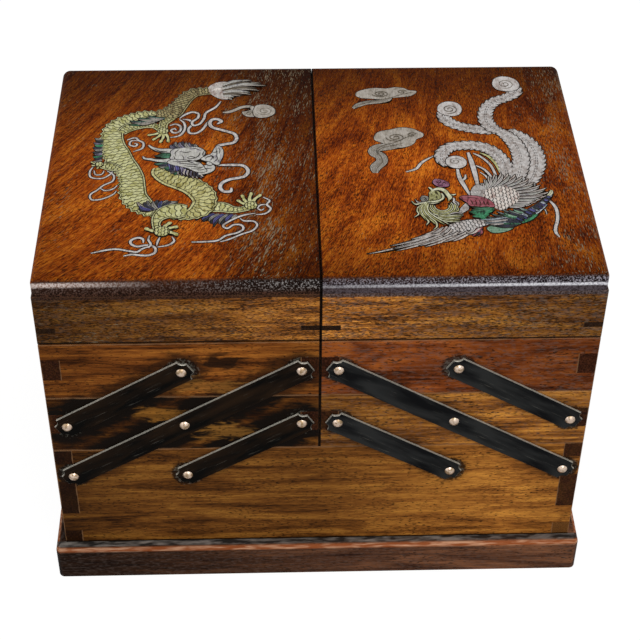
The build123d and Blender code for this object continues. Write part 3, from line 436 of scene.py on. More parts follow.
# The phoenix's barbed plumes: (level, barb length, places), each place (x, y, half width)
PLUMES = {
    "upper_plume": (1, 1.1, [
        (107.6, 131.6, 3.2), (103, 136.4, 4.0), (100.4, 143.4, 4.2), (100.8, 151.2, 4.2),
        (103.4, 158.4, 4.0), (108.4, 164.0, 3.8), (115.6, 167.8, 3.6), (121, 173, 3.8),
        (121.6, 179.4, 3.2)]),
    "middle_plume": (0, 1.1, [
        (103, 133.6, 3.6), (95, 134.8, 3.9), (88, 136.8, 3.8), (81, 140.4, 3.8), (76.6, 146, 3.8),
        (75.8, 153, 3.2)]),
    "outer_plume": (1, 1.3, [
        (113.4, 77.4, 2.4), (118.6, 84.6, 3.8), (122.4, 93.4, 4.5), (124.4, 102, 4.9),
        (124.8, 110.6, 4.8), (123, 119, 4.7), (118.8, 127, 4.0), (112.6, 134, 2.2)]),
    "inner_plume": (2, 0.8, [
        (107.8, 78, 2.4), (111.2, 86, 3.8), (114.2, 95.6, 4.5), (115.8, 104, 4.8),
        (115.8, 112.6, 4.8), (114, 121, 4.7), (110.4, 128.4, 4.2), (106, 133.2, 2.8)]),
    "lower_plume": (2, 1.1, [
        (103.4, 78.6, 2.6), (105.2, 86, 3.5), (106.2, 94, 3.9), (105.6, 102, 4.1),
        (103.2, 109, 4.1), (98.8, 115, 4.1), (92, 118.4, 4.1), (84.3, 118.8, 4.0),
        (77, 117.2, 3.9), (72, 111.8, 3.9), (71, 105, 3.4), (74.4, 100.2, 2.8)]),
}
# Curls at the ends of the plumes: (level, middle line, outline)
CURLS = {
    "upper_curl": (2, [(114.4, 182), (118, 182.4)], [
        (108.4, 182.4), (110, 187.4), (114.4, 190), (119.6, 189), (123.4, 185.4), (124.4, 180),
        (122, 175.4), (116.6, 174), (111.4, 175.4), (108.8, 178.6)]),
    "middle_curl": (1, [(79.4, 156), (81.4, 157)], [
        (73, 156), (74.6, 160.8), (79, 163.6), (84, 162.8), (87, 159), (87, 153.4), (84.6, 149.6),
        (80.4, 148.6), (76, 150.4), (73.6, 153)]),
    "lower_curl": (3, [(77.4, 103.4), (80.8, 102.6)], [
        (73.2, 104.6), (75.6, 107.6), (79.4, 108.6), (83, 107), (84.8, 103.6), (84, 99.4),
        (80.6, 96.8), (76.4, 97.4), (73.6, 100.2)]),
}
# Strokes: (level, shell, half width, places)
PHOENIX_STROKES = {
    "left_leg": (1, "pearl", 1.25, [(79, 97.4), (79.4, 88.5), (81.2, 81), (84, 70.6)]),
    "left_spur": (1, "pearl", 0.8, [(83, 91), (82.4, 87.6), (80, 84.6)]),
    "right_leg": (1, "pearl", 1.45, [(86.6, 112), (87.6, 103), (88.4, 92), (88.8, 78)]),
    "left_streamer": (0, "pearl", 0.9, [(50, 94.2), (55.8, 97), (60, 103.4), (67.6, 109.8)]),
    "right_streamer": (0, "pearl", 1.0, [
        (126.4, 67), (128.8, 62), (129.4, 56), (128.6, 49.4), (126.8, 43.4), (126.2, 39),
        (127.6, 34.6)]),
    "hook": (0, "pearl", 0.5, [(120.6, 61), (123, 59), (123.6, 54.4)]),
    "straw_feather": (2, "straw", 0.9, [(93.4, 111.4), (97.6, 108), (100.8, 101.6), (102.4, 93)]),
    "inner_feather_1": (1, "pearl", 0.85, [
        (89.4, 111.4), (94, 107), (97.8, 100.4), (99.6, 92), (100, 84)]),
    "inner_feather_2": (1, "pearl", 0.7, [(92, 110), (96, 104.4), (98.8, 97), (100, 90)]),
    "inner_feather_3": (1, "pearl", 0.8, [(89.8, 99.4), (93.8, 96), (96.6, 90.4), (98.2, 83)]),
    "inner_feather_4": (0, "pearl", 0.7, [(91.4, 93.4), (94.4, 89.4), (96, 84), (96.6, 79)]),
    "forehead": (6, "straw_pale", 1.3, [
        (63.8, 76.4), (67, 77.3), (69.8, 75.6), (71.2, 72.4), (72.2, 69.6), (71.8, 67.6)]),
    "beak": (5, "straw_pale", 0.75, [(61.4, 79), (62.8, 77), (63, 74.8), (61.6, 72.6)]),
    "beak_edge": (5, "straw_pale", 0.5, [(64.4, 77.4), (64, 75.4), (64.6, 73.4)]),
    "jaw": (7, "straw_pale", 0.75, [
        (68, 73), (68.6, 69.4), (66.6, 66.8), (63, 65.6), (59.6, 65.4)]),
    "jaw_low": (7, "straw_pale", 0.45, [(66, 65.2), (63, 64), (60.4, 64)]),
    "nape": (5, "straw", 0.7, [(71, 72), (71.8, 69), (71.4, 66.6)]),
    "back_flick": (4, "straw_pale", 0.55, [(71.4, 72.2), (74.6, 72.1), (75.8, 72.7)]),
    "nape_flick": (4, "pearl", 0.6, [(73, 69.6), (74.4, 68.2), (74, 65.6), (75.6, 63)]),
    "nape_edge": (4, "pearl", 0.5, [(74.6, 66.6), (76.2, 64.6), (76.4, 62.4)]),
}
# The mane: strands round the opening behind the head and locks that fly from them
MANE_BED = [
    (63.3, 66.7, 2.2), (61.3, 63.6, 2.4), (61.5, 59.9, 2.4), (63.7, 57, 2.4), (67.2, 55.9, 2.4),
    (70.7, 57, 2.4), (72.9, 59.9, 2.3), (73, 63.4, 1.8), (71.8, 65.8, 1.2)]
MANE_RINGS = (
    (4.1, 175, 372), (5.15, 150, 385), (6.2, 138, 392), (7.25, 132, 398), (8.3, 128, 375))
MANE_CENTRE = (67.2, 62.0)
# Locks: (shell, half width, places)
MANE_LOCKS = (
    ("straw_pale", 0.55, [(61, 66), (59.2, 61), (59.8, 56.6), (63, 52.5), (66, 49.5), (69.5, 46)]),
    ("straw", 0.5, [(60.4, 65.8), (58.3, 60.6), (58.9, 56), (61.6, 52), (64.4, 48.8), (67, 46)]),
    ("straw_pale", 0.55, [
        (59.6, 65.6), (57.4, 60.4), (58, 56), (60.2, 52), (62.5, 48.5), (63, 44.4), (61, 41.5)]),
    ("straw", 0.5, [(58.8, 65), (56.6, 60.2), (57, 55.6), (59, 51.6), (61.2, 48.2), (62.4, 46)]),
    ("straw_pale", 0.55, [
        (58, 64.6), (55.7, 60), (56, 55.5), (57.5, 51.5), (58.8, 48.5), (57.4, 45.6)]),
    ("straw", 0.45, [(57.4, 64.2), (54.9, 60.4), (55, 56), (56.4, 52.4), (57.6, 49.6)]),
    ("straw_pale", 0.5, [(57.2, 64.4), (54.2, 61), (53.4, 58), (54, 55.2), (51.6, 52.6)]),
    ("straw_pale", 0.55, [(60, 65.8), (56, 64.6), (53, 63.8), (51, 66.6)]),
    ("pearl", 0.45, [(57, 65.6), (54.4, 65.6), (53, 68.4)]),
    ("straw_pale", 0.5, [(65, 54.2), (69, 53), (73, 53.6), (78.2, 53.8)]),
    ("straw", 0.45, [(64.4, 53.4), (68.6, 51.9), (73, 52.4), (77, 52.6)]),
    ("straw_pale", 0.5, [(64.2, 52.4), (68, 50.5), (72, 50.9), (76.4, 51.4)]),
    ("straw", 0.45, [(65, 51), (69, 49.4), (73, 49.6), (76, 49.8)]),
    ("straw_pale", 0.5, [(66, 49.4), (70, 48.3), (76, 48.2)]),
    ("straw", 0.5, [(72.6, 56.6), (75.4, 57.8), (76.2, 60.6)]),
    ("pearl", 0.45, [(71, 55), (74.4, 56), (78, 55)]),
)
# Lines engraved in the phoenix: (level, places)
PHOENIX_LINES = (
    (7, [(64.4, 74.2), (65.6, 73), (66, 71.2)]), (7, [(65.2, 70.6), (64.6, 69.4), (65.4, 68.4)]),
    (7, [(62, 73.4), (62.6, 71.6)]), (7, [(63.2, 68), (61.8, 67.6)]),
    (2, [(57.8, 70.4), (59, 69.2), (59.4, 67.6)]), (2, [(58, 68.6), (58.6, 67.2)]),
    (6, [(66, 84.6), (66.8, 82.4), (68.4, 83.4), (68, 85)]),
    (6, [(68.8, 81.4), (70.2, 83), (71.4, 81.4)]), (6, [(66.6, 81.2), (68, 80.4), (69.6, 80.6)]),
    (7, [(83.4, 66.8), (84, 64), (84.2, 62)]), (7, [(85.6, 67), (86.2, 64.4), (86.2, 62)]),
    (7, [(87.8, 66.8), (88.4, 64.2), (88.6, 61.8)]), (7, [(90, 66), (90.6, 63.4), (90.8, 61.6)]),
    (7, [(92, 65), (92.6, 62.8), (93, 61.2)]), (7, [(81, 68.6), (84, 68.8), (88, 67.8)]),
)
# Feathers and hair: (level, shell, locks, half width, bend, roots, tips)
PHOENIX_LOCKS = {
    "fan": (3, ("fan", "pearl", "fan", "white"), 34, 0.88, -0.08,
        [
            (91, 71), (92.6, 76), (97, 79.4), (104, 79.6), (108.6, 76.4), (110.4, 71.6),
            (108.6, 66), (104, 61)],
        [
            (90.4, 83), (95, 89), (102, 92.4), (109, 91.6), (116, 88), (121.6, 82), (127.6, 77),
            (127.4, 73), (124.4, 69.4), (119.6, 65.6), (114.6, 62)]),
    "upper_breast": (4, "leaf_dark", 5, 1.35, 0.12, [(94, 60.8), (92.6, 58), (90, 56.4)], [
        (83.4, 61.6), (82.6, 59), (85.4, 56.6)]),
    "lower_breast": (4, "leaf", 5, 1.5, 0.14, [(95.4, 59.4), (92.6, 56.4), (90, 53.4)], [
        (81.4, 57), (81, 54.8), (84.4, 51.6), (87, 50.4)]),
    "back": (3, ("teal", "night", "ice", "leaf_dark", "teal", "night"), 14, 0.8, 0.06,
        [(114.6, 52), (111, 48.4), (104, 43.6)],
        [(99.6, 58.6), (93, 55), (87.6, 51), (87.6, 47.4), (92.6, 44.6)]),
    "pale_back": (4, ("ice", "pearl"), 4, 0.75, 0.05, [(101, 51.4), (101.4, 48.6), (99, 46)], [
        (86, 50), (87, 48), (90, 45.8)]),
    "back_crest": (4, ("mint", "night", "teal"), 6, 0.8, 0.1, [(107, 52), (113.4, 57.4)], [
        (100.4, 55.6), (104, 58.6), (108.4, 60.4)]),
    "blue_plume": (5, ("indigo", "night", "indigo", "ice", "night"), 19, 0.95, 0.05,
        [(106.6, 51), (111.4, 55.6), (117.4, 60.6), (123, 66), (126.6, 70.6)],
        [(109.6, 48), (115, 52), (120.4, 57.4), (125.2, 63.6), (128.4, 69.6)]),
    "red_tuft": (1, ("rose", "rose", "night"), 8, 0.75, 0.10, [(87.2, 44), (86.4, 41)], [
        (80.4, 42.6), (79.8, 39), (82, 35.4), (85.4, 36.6)]),
    "wing_tip": (1, ("fan", "pearl"), 11, 0.8, 0.04, [(80, 38.6), (73, 41.4), (63, 41.4)], [
        (70, 31.8), (60, 28.6), (50, 26.2), (36, 23.6), (24, 21.6), (31, 25.8), (42, 30.8),
        (52, 35.8)]),
    "wing_middle": (2, ("fan", "pearl"), 11, 0.8, 0.1, [(86, 43), (76, 45.6), (64, 43)], [
        (79, 37.4), (70, 36), (62, 36.4), (56, 38)]),
}
# Bands: (level, shell, scale size or 0 for hair lines, places), each place (x, y, half width)
PHOENIX_BANDS = {
    "wing_scales": (3, "pearl", 2.9, [
        (90.6, 47.6, 2.2), (85, 46.8, 3.6), (78, 44.8, 4.4), (70.4, 42.6, 3.2)]),
    "plume_bed": (3, "night", 0, [
        (106.6, 49.4, 2.4), (111.4, 53.4, 2.7), (117, 58.4, 2.4), (122.4, 64, 1.8),
        (127.6, 70.8, 1.0)]),
    "plume_edge": (3, "leaf", 0, [(108.6, 47.4, 1.2), (113.4, 50.6, 1.9), (117.4, 54.6, 1.6)]),
    "plume_rim": (3, "ice", 0, [(117, 54.4, 1.0), (121, 58.6, 0.9), (124.6, 63, 0.6)]),
    "plume_tip": (5, "straw_pale", 0, [(126.6, 70.4, 1.0), (128.4, 73, 1.2), (128.8, 75.4, 0.6)]),
}
# Outlined pieces: (level, shell, scale size or 0 for hair lines, middle line, outline)
PHOENIX_PATCHES = {
    "thigh": (4, "pearl", 0, [(88.6, 72.4), (89.4, 76)], [
        (88.4, 81.4), (85.4, 78), (84, 73), (86, 69.4), (90.4, 68.4), (93.6, 70.6), (93.4, 75.8),
        (91.4, 79.6)]),
    "crest": (5, "plum", 0, [(67, 83.4), (69.6, 82.4)], [
        (64, 83.6), (65.6, 86.4), (69.4, 85.6), (72.8, 82.8), (72.2, 79.6), (67.8, 79.2),
        (65.4, 80.8)]),
    "collar": (6, "rose", 0, [(81.6, 67.6), (87, 66), (92.4, 63.4)], [
        (77.6, 69.4), (80, 70.8), (86, 70.6), (91, 68.8), (94.6, 65.4), (96, 61.6), (94.4, 60.4),
        (91.6, 61.2), (88.6, 60.8), (85.6, 61.4), (82.6, 61.8), (81.2, 64.4), (79, 67)]),
    "throat": (2, "pearl", 0, [(77.4, 58), (80.2, 62)], [
        (75, 56.6), (77.6, 60.8), (80.6, 64.6), (81.8, 60), (79, 56.8), (75.6, 55.2)]),
    "belly": (2, "mint", 0, [(93, 41.6), (99, 41.8)], [
        (89.6, 42.2), (92, 44.4), (97.4, 44.4), (103.8, 43), (100.6, 40.2), (96, 38.6),
        (92, 38.8)]),
    "face": (5, "straw", 0, [(64.4, 72.6), (65.4, 69)], [
        (61.2, 74), (63.4, 75.8), (66, 75.4), (67.8, 72.6), (68.4, 69.4), (66.6, 66.6), (63, 65.4),
        (60.4, 66.6), (61, 69.4)]),
    "ear": (1, "smoke", 0, [(58, 70), (59.4, 68)], [
        (56, 69.6), (57.6, 71.8), (60, 71.2), (61.4, 68.6), (61, 66.2), (58.8, 65.6),
        (56.6, 67.2)]),
}
# The feathered body on the roots of the fan: (level, scale size, middle line, outline)
BODY = (5, 3.0, [(97, 69), (103, 70)], [
    (91, 66), (90.6, 70), (92, 75), (97, 78.6), (104, 79), (109, 76), (110.6, 70.6),
    (108.6, 65), (104, 61), (100, 58.4), (96, 60.4), (93, 63)])


def linear(code):
    """The linear colour that an sRGB hex code stands for, each channel bent by the sRGB curve."""
    value = np.array([int(code[i:i + 2], 16) for i in (1, 3, 5)]) / 255
    return tuple(np.where(value <= 0.04045, value / 12.92, ((value + 0.055) / 1.055) ** 2.4))


def rise(t):
    """A curve from 0 to 1 as t goes from 0 to 1, steep at first and level at the end."""
    t = np.clip(t, 0, 1)
    return t * (2 - t)


def step_up(value, low, high):
    """0 below low, 1 above high, and an even S-curve between."""
    t = np.clip((value - low) / (high - low), 0, 1)
    return t * t * (3 - 2 * t)


def inked(distance, full, bare):
    """1 nearer than one distance, 0 past another, and an even S-curve between."""
    return 1 - step_up(distance, full, bare)


def off_whole(value):
    """Distance to the nearest whole number."""
    return np.abs(value - np.round(value))


def hashed(a, b):
    """An unordered but repeatable number from 0 to 1 for each pair of whole numbers."""
    wave = np.sin(a * 12.9898 + b * 78.233) * 43758.5453
    return wave - np.floor(wave)


def smooth(places, steps, closed=False):
    """A finer line through the places: each stretch blends four neighbours with cubic weights."""
    p = np.asarray(places, float)
    last = len(p) - 1
    near = np.arange(len(p) if closed else last)
    near = [near + shift for shift in (-1, 0, 1, 2)]
    near = [row % len(p) if closed else np.clip(row, 0, last) for row in near]
    a, b, c, d = (p[row][:, None, :] for row in near)
    t = (np.arange(steps) / steps)[None, :, None]
    line = 0.5 * (2 * b + (c - a) * t + (2 * a - 5 * b + 4 * c - d) * t ** 2
                  + (3 * b - a - 3 * c + d) * t ** 3)
    line = line.reshape(-1, p.shape[1])
    return line if closed else np.vstack([line, p[-1]])


def spaced(line, step):
    """Stations an even step apart along a line, by linear interpolation over its length."""
    length = np.hypot(*np.diff(line[:, :2], axis=0).T)
    run = np.concatenate([[0], np.cumsum(length)])
    stations = np.linspace(0, run[-1], max(int(run[-1] / step), 5) + 1)
    return stations, np.stack([np.interp(stations, run, column) for column in line.T], 1)


def side_of(middle):
    """Unit vectors to the left of the way that a line runs."""
    heading = np.gradient(middle, axis=0)
    heading /= np.linalg.norm(heading, axis=1, keepdims=True)
    return np.stack([-heading[:, 1], heading[:, 0]], 1)


def on_lid(x, y, height):
    """Scene places for drawing places and heights above the lid's top."""
    right = DRAWING_CORNER[0] + DRAWING_SCALE[0] * x + DRAWING_SLANT * y
    back = DRAWING_CORNER[1] + DRAWING_SCALE[1] * y + DRAWING_SLANT * x
    return np.stack([right, back, LID_Z + height + 0 * x], -1) * MM


def plain(s, v, edge):
    """No engraving: nothing inked, an even tone and no relief."""
    return 0 * v, 0 * v + 0.5, 0 * v


def hair(s, v, edge):
    """Fine lengthwise lines, each a narrow groove at a fixed spacing across."""
    lane = v / HAIR_LANE
    groove = inked(off_whole(lane), 0.08, 0.3) * step_up(edge, 0.1, 0.5)
    return 0.8 * groove, hashed(np.round(lane), 3), -0.04 * groove


def scales(size, belly=0, border=True):
    """Engraving of round scales in staggered rows, each overlapping the row behind it.

    A place belongs to the foremost circle that covers it. Its ink is dark near that circle's
    rim, its tone is a number hashed from the circle's row and column, and it stands higher
    towards the rim. Along both edges runs a row of small plates, and on the belly side wider
    ones.
    """
    def pattern(s, v, edge):
        pitch, width, radius = size * ROW_SHARE, size * WIDTH_SHARE, size * RADIUS_SHARE
        first = np.ceil((s - radius) / pitch)
        ink, tone, relief = 0 * v, 0 * v + 0.5, 0 * v
        free = np.ones(v.shape, bool)
        for back in range(4):
            row = first + back
            stagger = 0.5 * (row % 2)
            column = np.round(v / width - stagger)
            along, across = s - row * pitch, v - (column + stagger) * width
            reach = np.hypot(along, across)
            here = free & (reach < radius) & (along > -0.3 * radius)
            ink = np.where(here, inked(radius - reach, 0.36, 0.64), ink)
            tone = np.where(here, 0.2 + 0.6 * hashed(row, column), tone)
            relief = np.where(here, 0.07 * reach / radius - 0.05, relief)
            free = free & ~here
        if border:
            on_belly = (np.sign(v) == belly) & (belly != 0)
            lane = np.where(on_belly, PLATE * BELLY_SHARE, PLATE)
            cross = off_whole(s / TICK) * TICK
            plate_ink = np.maximum(0.45 * inked(cross, 0.10, 0.34),
                                   inked(np.abs(edge - lane), 0.2, 0.44))
            inside = edge < lane + 0.2
            ink = np.where(inside, plate_ink, ink)
            tone = np.where(inside, 0.9, tone)
            relief = np.where(inside, -0.02 * plate_ink, relief)
        return ink, tone, relief
    return pattern


def barbs(length):
    """Engraving of a plume: a quill of two dashed lines, slanting barbs and dark notches.

    Each notch is a wedge, widest at the edge, that runs inwards and back along the barbs.
    """
    def pattern(s, v, edge):
        off = np.abs(v)
        dash = step_up(np.abs((s / QUILL_DASH) % 1 - 0.5), 0.08, 0.2)
        quill = inked(np.abs(off - QUILL_HALF), 0.1, 0.3) * dash
        slant = (s + BARB_SLANT * off) / BARB_SPACING
        barb = inked(off_whole(slant), 0.06, 0.3) * (off > 0.8)
        notch = off_whole((s + NOTCH_SLANT * edge) / BARB_PERIOD) * BARB_PERIOD
        wedge = NOTCH_HALF * np.clip(1 - edge / (length * NOTCH_DEPTH), 0, 1)
        notch = inked(notch - wedge, 0.0, 0.2) * (wedge > 0)
        ink = np.maximum(np.maximum(0.9 * quill, 0.3 * barb), 0.95 * notch)
        tone = hashed(np.round(slant), np.sign(v))
        return ink, tone, -0.04 * np.maximum(quill, notch) - 0.015 * barb
    return pattern


def spines(length):
    """Extra half width along a band: pointed teeth that lean back and fall away steeply."""
    def tooth(s):
        part = (s / SPINE_PERIOD) % 1
        return length * np.where(part < SPINE_TIP, (part / SPINE_TIP) ** 1.6,
                                 (1 - part) / (1 - SPINE_TIP))
    return tooth


def serrate(length):
    """Extra half width along a plume: long barbs that swell slowly and end in a notch."""
    def tooth(s):
        part = (s / BARB_PERIOD) % 1
        return length * (rise(part) - 0.5)
    return tooth


def none(s):
    """No extra half width."""
    return 0 * s


def grid_faces(rows, columns):
    """Quads of a grid of places whose columns close on themselves."""
    row, column = np.meshgrid(np.arange(rows - 1), np.arange(columns), indexing="ij")
    after = (column + 1) % columns
    corners = (row * columns + column, row * columns + after,
               (row + 1) * columns + after, (row + 1) * columns + column)
    return np.stack(corners, -1).reshape(-1, 4)


def ribbon(places, level, pattern=plain, crown=CROWN, left=none, right=none, step=GRID,
           grow=0.0, top=0.0, across=None):
    """A closed band carried along the line through its places.

    Across, the profile is a low cushion: flat in the middle, rounded down over the edge's
    width to the level it lies on, then straight down into the lid and closed beneath.
    """
    s, line = spaced(smooth(places, FINE), step)
    middle, half = line[:, :2], line[:, 2]
    side = side_of(middle)
    wide_left = (half + left(s) + grow)[:, None]
    wide_right = (half + right(s) + grow)[:, None]
    across = across or max(4, int(2 * half.max() / step))
    q = np.linspace(-1, 1, across + 1)[None, :]
    v = np.where(q < 0, q * wide_right, q * wide_left)
    edge = np.minimum(wide_left - v, wide_right + v)
    ink, tone, relief = pattern(s[:, None] + 0 * v, v, edge)
    height = level * LEVEL + top + (crown + relief) * rise(edge / EDGE)
    xy = middle[:, None, :] + side[:, None, :] * v[..., None]
    xy = np.concatenate([xy, xy[:, -1:], xy[:, :1]], 1)
    height = np.concatenate([height, 0 * height[:, :2] - SINK], 1)
    values = [np.concatenate([layer, layer[:, -1:], layer[:, :1]], 1) for layer in (ink, tone)]
    rows, columns = height.shape
    points = on_lid(xy[..., 0], xy[..., 1], height).reshape(-1, 3)
    ends = [np.arange(columns)[None, :], (rows * columns - 1 - np.arange(columns))[None, :]]
    faces = [grid_faces(rows, columns)[:, ::-1]] + ends
    return points, faces, values[0].ravel(), values[1].ravel()


def patch(outline, spine, level, pattern=plain, crown=CROWN, grow=0.0, top=0.0, step=GRID):
    """A closed piece whose outline is drawn in, ring by ring, to a middle line.

    Each outline place runs straight to the nearest place of the middle line. The height
    follows the distance from the outline, as on a ribbon, and the innermost ring, the wall
    and the underside are closed.
    """
    rim = smooth(outline, FINE, closed=True)
    area = np.sum(rim[:, 0] * np.roll(rim[:, 1], -1) - np.roll(rim[:, 0], -1) * rim[:, 1])
    rim = rim if area > 0 else rim[::-1]
    rim = spaced(np.vstack([rim, rim[:1]]), step * OUTLINE_STEPS)[1][:-1]
    heading = np.roll(rim, -1, axis=0) - np.roll(rim, 1, axis=0)
    heading /= np.linalg.norm(heading, axis=1, keepdims=True)
    rim = rim + np.stack([heading[:, 1], -heading[:, 0]], 1) * grow
    core = spaced(smooth(spine, FINE), step)[1]
    reach = np.linalg.norm(rim[:, None, :] - core[None, :, :], axis=2)
    inner = core[np.argmin(reach, axis=1)]
    count = max(4, int(reach.min(axis=1).max() / step))
    r = np.linspace(0, INNERMOST, count)[:, None, None]
    xy = rim[None] * (1 - r) + inner[None] * r
    edge = np.linalg.norm(xy - rim[None], axis=2)
    offset = xy - rim.mean(axis=0)
    ink, tone, relief = pattern(offset[..., 0] + PATTERN_START, offset[..., 1], edge)
    height = level * LEVEL + top + (crown + relief) * rise(edge / EDGE)
    rows, columns = height.shape
    points = on_lid(xy[..., 0], xy[..., 1], height).reshape(-1, 3)
    foot = on_lid(rim[:, 0], rim[:, 1], 0 * rim[:, 0] - SINK)
    base = rows * columns
    around = np.arange(columns)
    wall = np.stack([around, base + around, base + (around + 1) % columns,
                     (around + 1) % columns], 1)
    faces = [grid_faces(rows, columns), (base - columns + around)[None, :],
             (base + around[::-1])[None, :], wall]
    values = [np.concatenate([layer.ravel(), layer[0]]) for layer in (ink, tone)]
    return np.vstack([points, foot]), faces, values[0], values[1]


def tapered(half, places, start=0.45, end=0.3):
    """The places of a stroke with half widths that swell from both ends."""
    count = len(places)
    share = np.interp(np.arange(count), [0, 1, count - THINS_FROM, count - 1],
                      [start, 1, 1, end])
    return [(x, y, half * part) for (x, y), part in zip(places, share)]


def bent(start, way, bend, half, shares):
    """A stroke that starts out along a way and bows to its left by a share of its length."""
    aside = np.array([-way[1], way[0]]) * bend
    return [(*(start + way * far + aside * off), half * part) for far, off, part in shares]


def locks(count, half, bend, roots, tips):
    """Bent strokes whose ends slide evenly along a line of roots and a line of tips."""
    starts = spaced(smooth(roots, FINE), ROOT_STEP)[1]
    ends = spaced(smooth(tips, FINE), ROOT_STEP)[1]
    made = []
    for i in range(count):
        share = i / (count - 1)
        start = starts[round(share * (len(starts) - 1))]
        way = ends[round(share * (len(ends) - 1))] - start
        made.append(bent(start, way * (1 - LOCK_SHORT * (i % 2)), bend, half, LOCK))
    return made


def spiral(middle, radius, turns, squash, start):
    """A line that winds in from an outer radius at a steady rate, flattened in depth."""
    t = np.linspace(0, 1, int(TURN_PLACES * turns))
    angle = radians(start) + 2 * pi * turns * t
    reach = radius * (1 - WINDS_IN * t)
    return list(zip(middle[0] + reach * np.cos(angle),
                    middle[1] + reach * np.sin(angle) * squash))


class Inlay:
    """The pieces of one creature, sorted by shell, with a bed of black lacquer beneath each."""

    def __init__(self):
        self.parts = {"lacquer": []}

    def put(self, shell, part):
        self.parts.setdefault(shell, []).append(part)

    def band(self, shell, places, level, **shape):
        """A ribbon of shell on its bed."""
        self.put(shell, ribbon(places, level, grow=-INSET, **shape))
        sides = {key: shape[key] for key in ("left", "right") if key in shape}
        self.put("lacquer", ribbon(places, level, crown=0, grow=RIM, top=BED, step=BED_STEP,
                                   across=BED_STRIPS, **sides))

    def piece(self, shell, outline, spine, level, **shape):
        """A patch of shell on its bed."""
        self.put(shell, patch(outline, spine, level, **shape))
        self.put("lacquer", patch(outline, spine, level, crown=0, grow=RIM, top=BED,
                                  step=BED_STEP))

    def line(self, level, places, half=ENGRAVED, fill="lacquer"):
        """A line engraved in the shell and filled with lacquer or left dull."""
        self.put(fill, ribbon(tapered(half, places), level, crown=0, step=BED_STEP,
                              top=CROWN + BED, across=LINE_STRIPS))

    def paw(self, level, palm, radius, tips):
        """A palm with a bent toe to each claw tip: each toe narrows, then ends in a round pad."""
        palm, tips = np.array(palm), np.array(tips)
        for tip in tips:
            self.band("gold", bent(palm, tip - palm, TOE_BEND, radius, TOE), level)
        turn = np.linspace(0, 2 * pi, PALM_PLACES, endpoint=False)
        rim = palm + radius * np.stack([np.cos(turn), np.sin(turn)], 1)
        spine = [palm - (radius * PALM_SPINE, 0), palm + (radius * PALM_SPINE, 0)]
        self.piece("gold", rim, spine, level + 1, pattern=scales(PALM_SCALES, border=False))

    def hair(self, level, shells, count, half, bend, roots, tips):
        """A run of locks, each of the next shell in turn, alternately higher and lower."""
        shells = (shells,) if isinstance(shells, str) else shells
        for i, places in enumerate(locks(count, half, bend, roots, tips)):
            self.band(shells[i % len(shells)], places, level + LOCK_LIFT * (i % 2), pattern=hair)

    def clouds(self, creature, pattern):
        """The clouds of one creature, and their tails with a pattern."""
        for level, spine, outline in CLOUDS[creature]:
            self.piece("oyster", outline, spine, level)
        for level, half, places in CLOUD_TAILS[creature]:
            self.band("oyster", tapered(half, places), level, pattern=pattern)

    def build(self, name, body, node):
        """One object for each shell, riding on the lid; the CAD node is hidden when the pearl is
        built.
        """
        for shell, parts in self.parts.items():
            piece = make_piece(f"{name}_{shell}", parts, inlay_finish(shell), body)
            if shell == "pearl":
                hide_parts(node)


def make_piece(name, parts, material, body):
    """One mesh object from parts of (places, faces, ink, tone), riding on a body."""
    starts = np.cumsum([0] + [len(part[0]) for part in parts[:-1]])
    faces = [start + block for start, part in zip(starts, parts) for block in part[1]]
    corners = np.concatenate([block.ravel() for block in faces])
    sizes = np.concatenate([np.full(len(block), block.shape[1]) for block in faces])
    points = np.concatenate([part[0] for part in parts])
    mesh = bpy.data.meshes.new(name)
    mesh.vertices.add(len(points))
    mesh.vertices.foreach_set("co", points.astype(np.float32).ravel())
    mesh.loops.add(len(corners))
    mesh.loops.foreach_set("vertex_index", corners.astype(np.int32))
    mesh.polygons.add(len(sizes))
    first = np.concatenate([[0], np.cumsum(sizes)[:-1]])
    mesh.polygons.foreach_set("loop_start", first.astype(np.int32))
    mesh.update(calc_edges=True)
    for layer, column in (("ink", 2), ("tone", 3)):
        values = np.concatenate([part[column] for part in parts]).astype(np.float32)
        mesh.attributes.new(layer, "FLOAT", "POINT").data.foreach_set("value", values)
    mesh.shade_smooth()
    mesh.materials.append(material)
    piece = bpy.data.objects.new(name, mesh)
    bpy.context.scene.collection.objects.link(piece)
    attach(piece, body)
    return piece


def add(tree, kind, inputs=(), stops=None, out=None, **settings):
    """Add one node and give back its output socket, the first one in use unless one is named.

    The kind is a type of node, or a pair of a type and its operation. settings are the node's
    own properties, inputs the values or links of its sockets, in a list or by name or number,
    and stops the places and values or colours of a ramp.
    """
    if isinstance(kind, tuple):
        kind, settings["operation"] = kind
    node = tree.nodes.new(kind)
    for name, value in settings.items():
        setattr(node, name, value)
    inputs = inputs if isinstance(inputs, dict) else dict(enumerate(inputs))
    for key, value in inputs.items():
        found = [socket for socket in node.inputs if socket.name == key and socket.enabled]
        socket = found[0] if found else node.inputs[key]
        if isinstance(value, bpy.types.NodeSocket):
            tree.links.new(value, socket)
        else:
            socket.default_value = (*value, 1) if socket.type == "RGBA" else value
    if stops:
        elements = node.color_ramp.elements
        while len(elements) < len(stops):
            elements.new(0.5)
        for element, (place, value) in zip(elements, stops):
            element.position = place
            element.color = (*value, 1) if isinstance(value, tuple) else (value, value, value, 1)
    return node.outputs[out] if out else next(s for s in node.outputs if s.enabled)


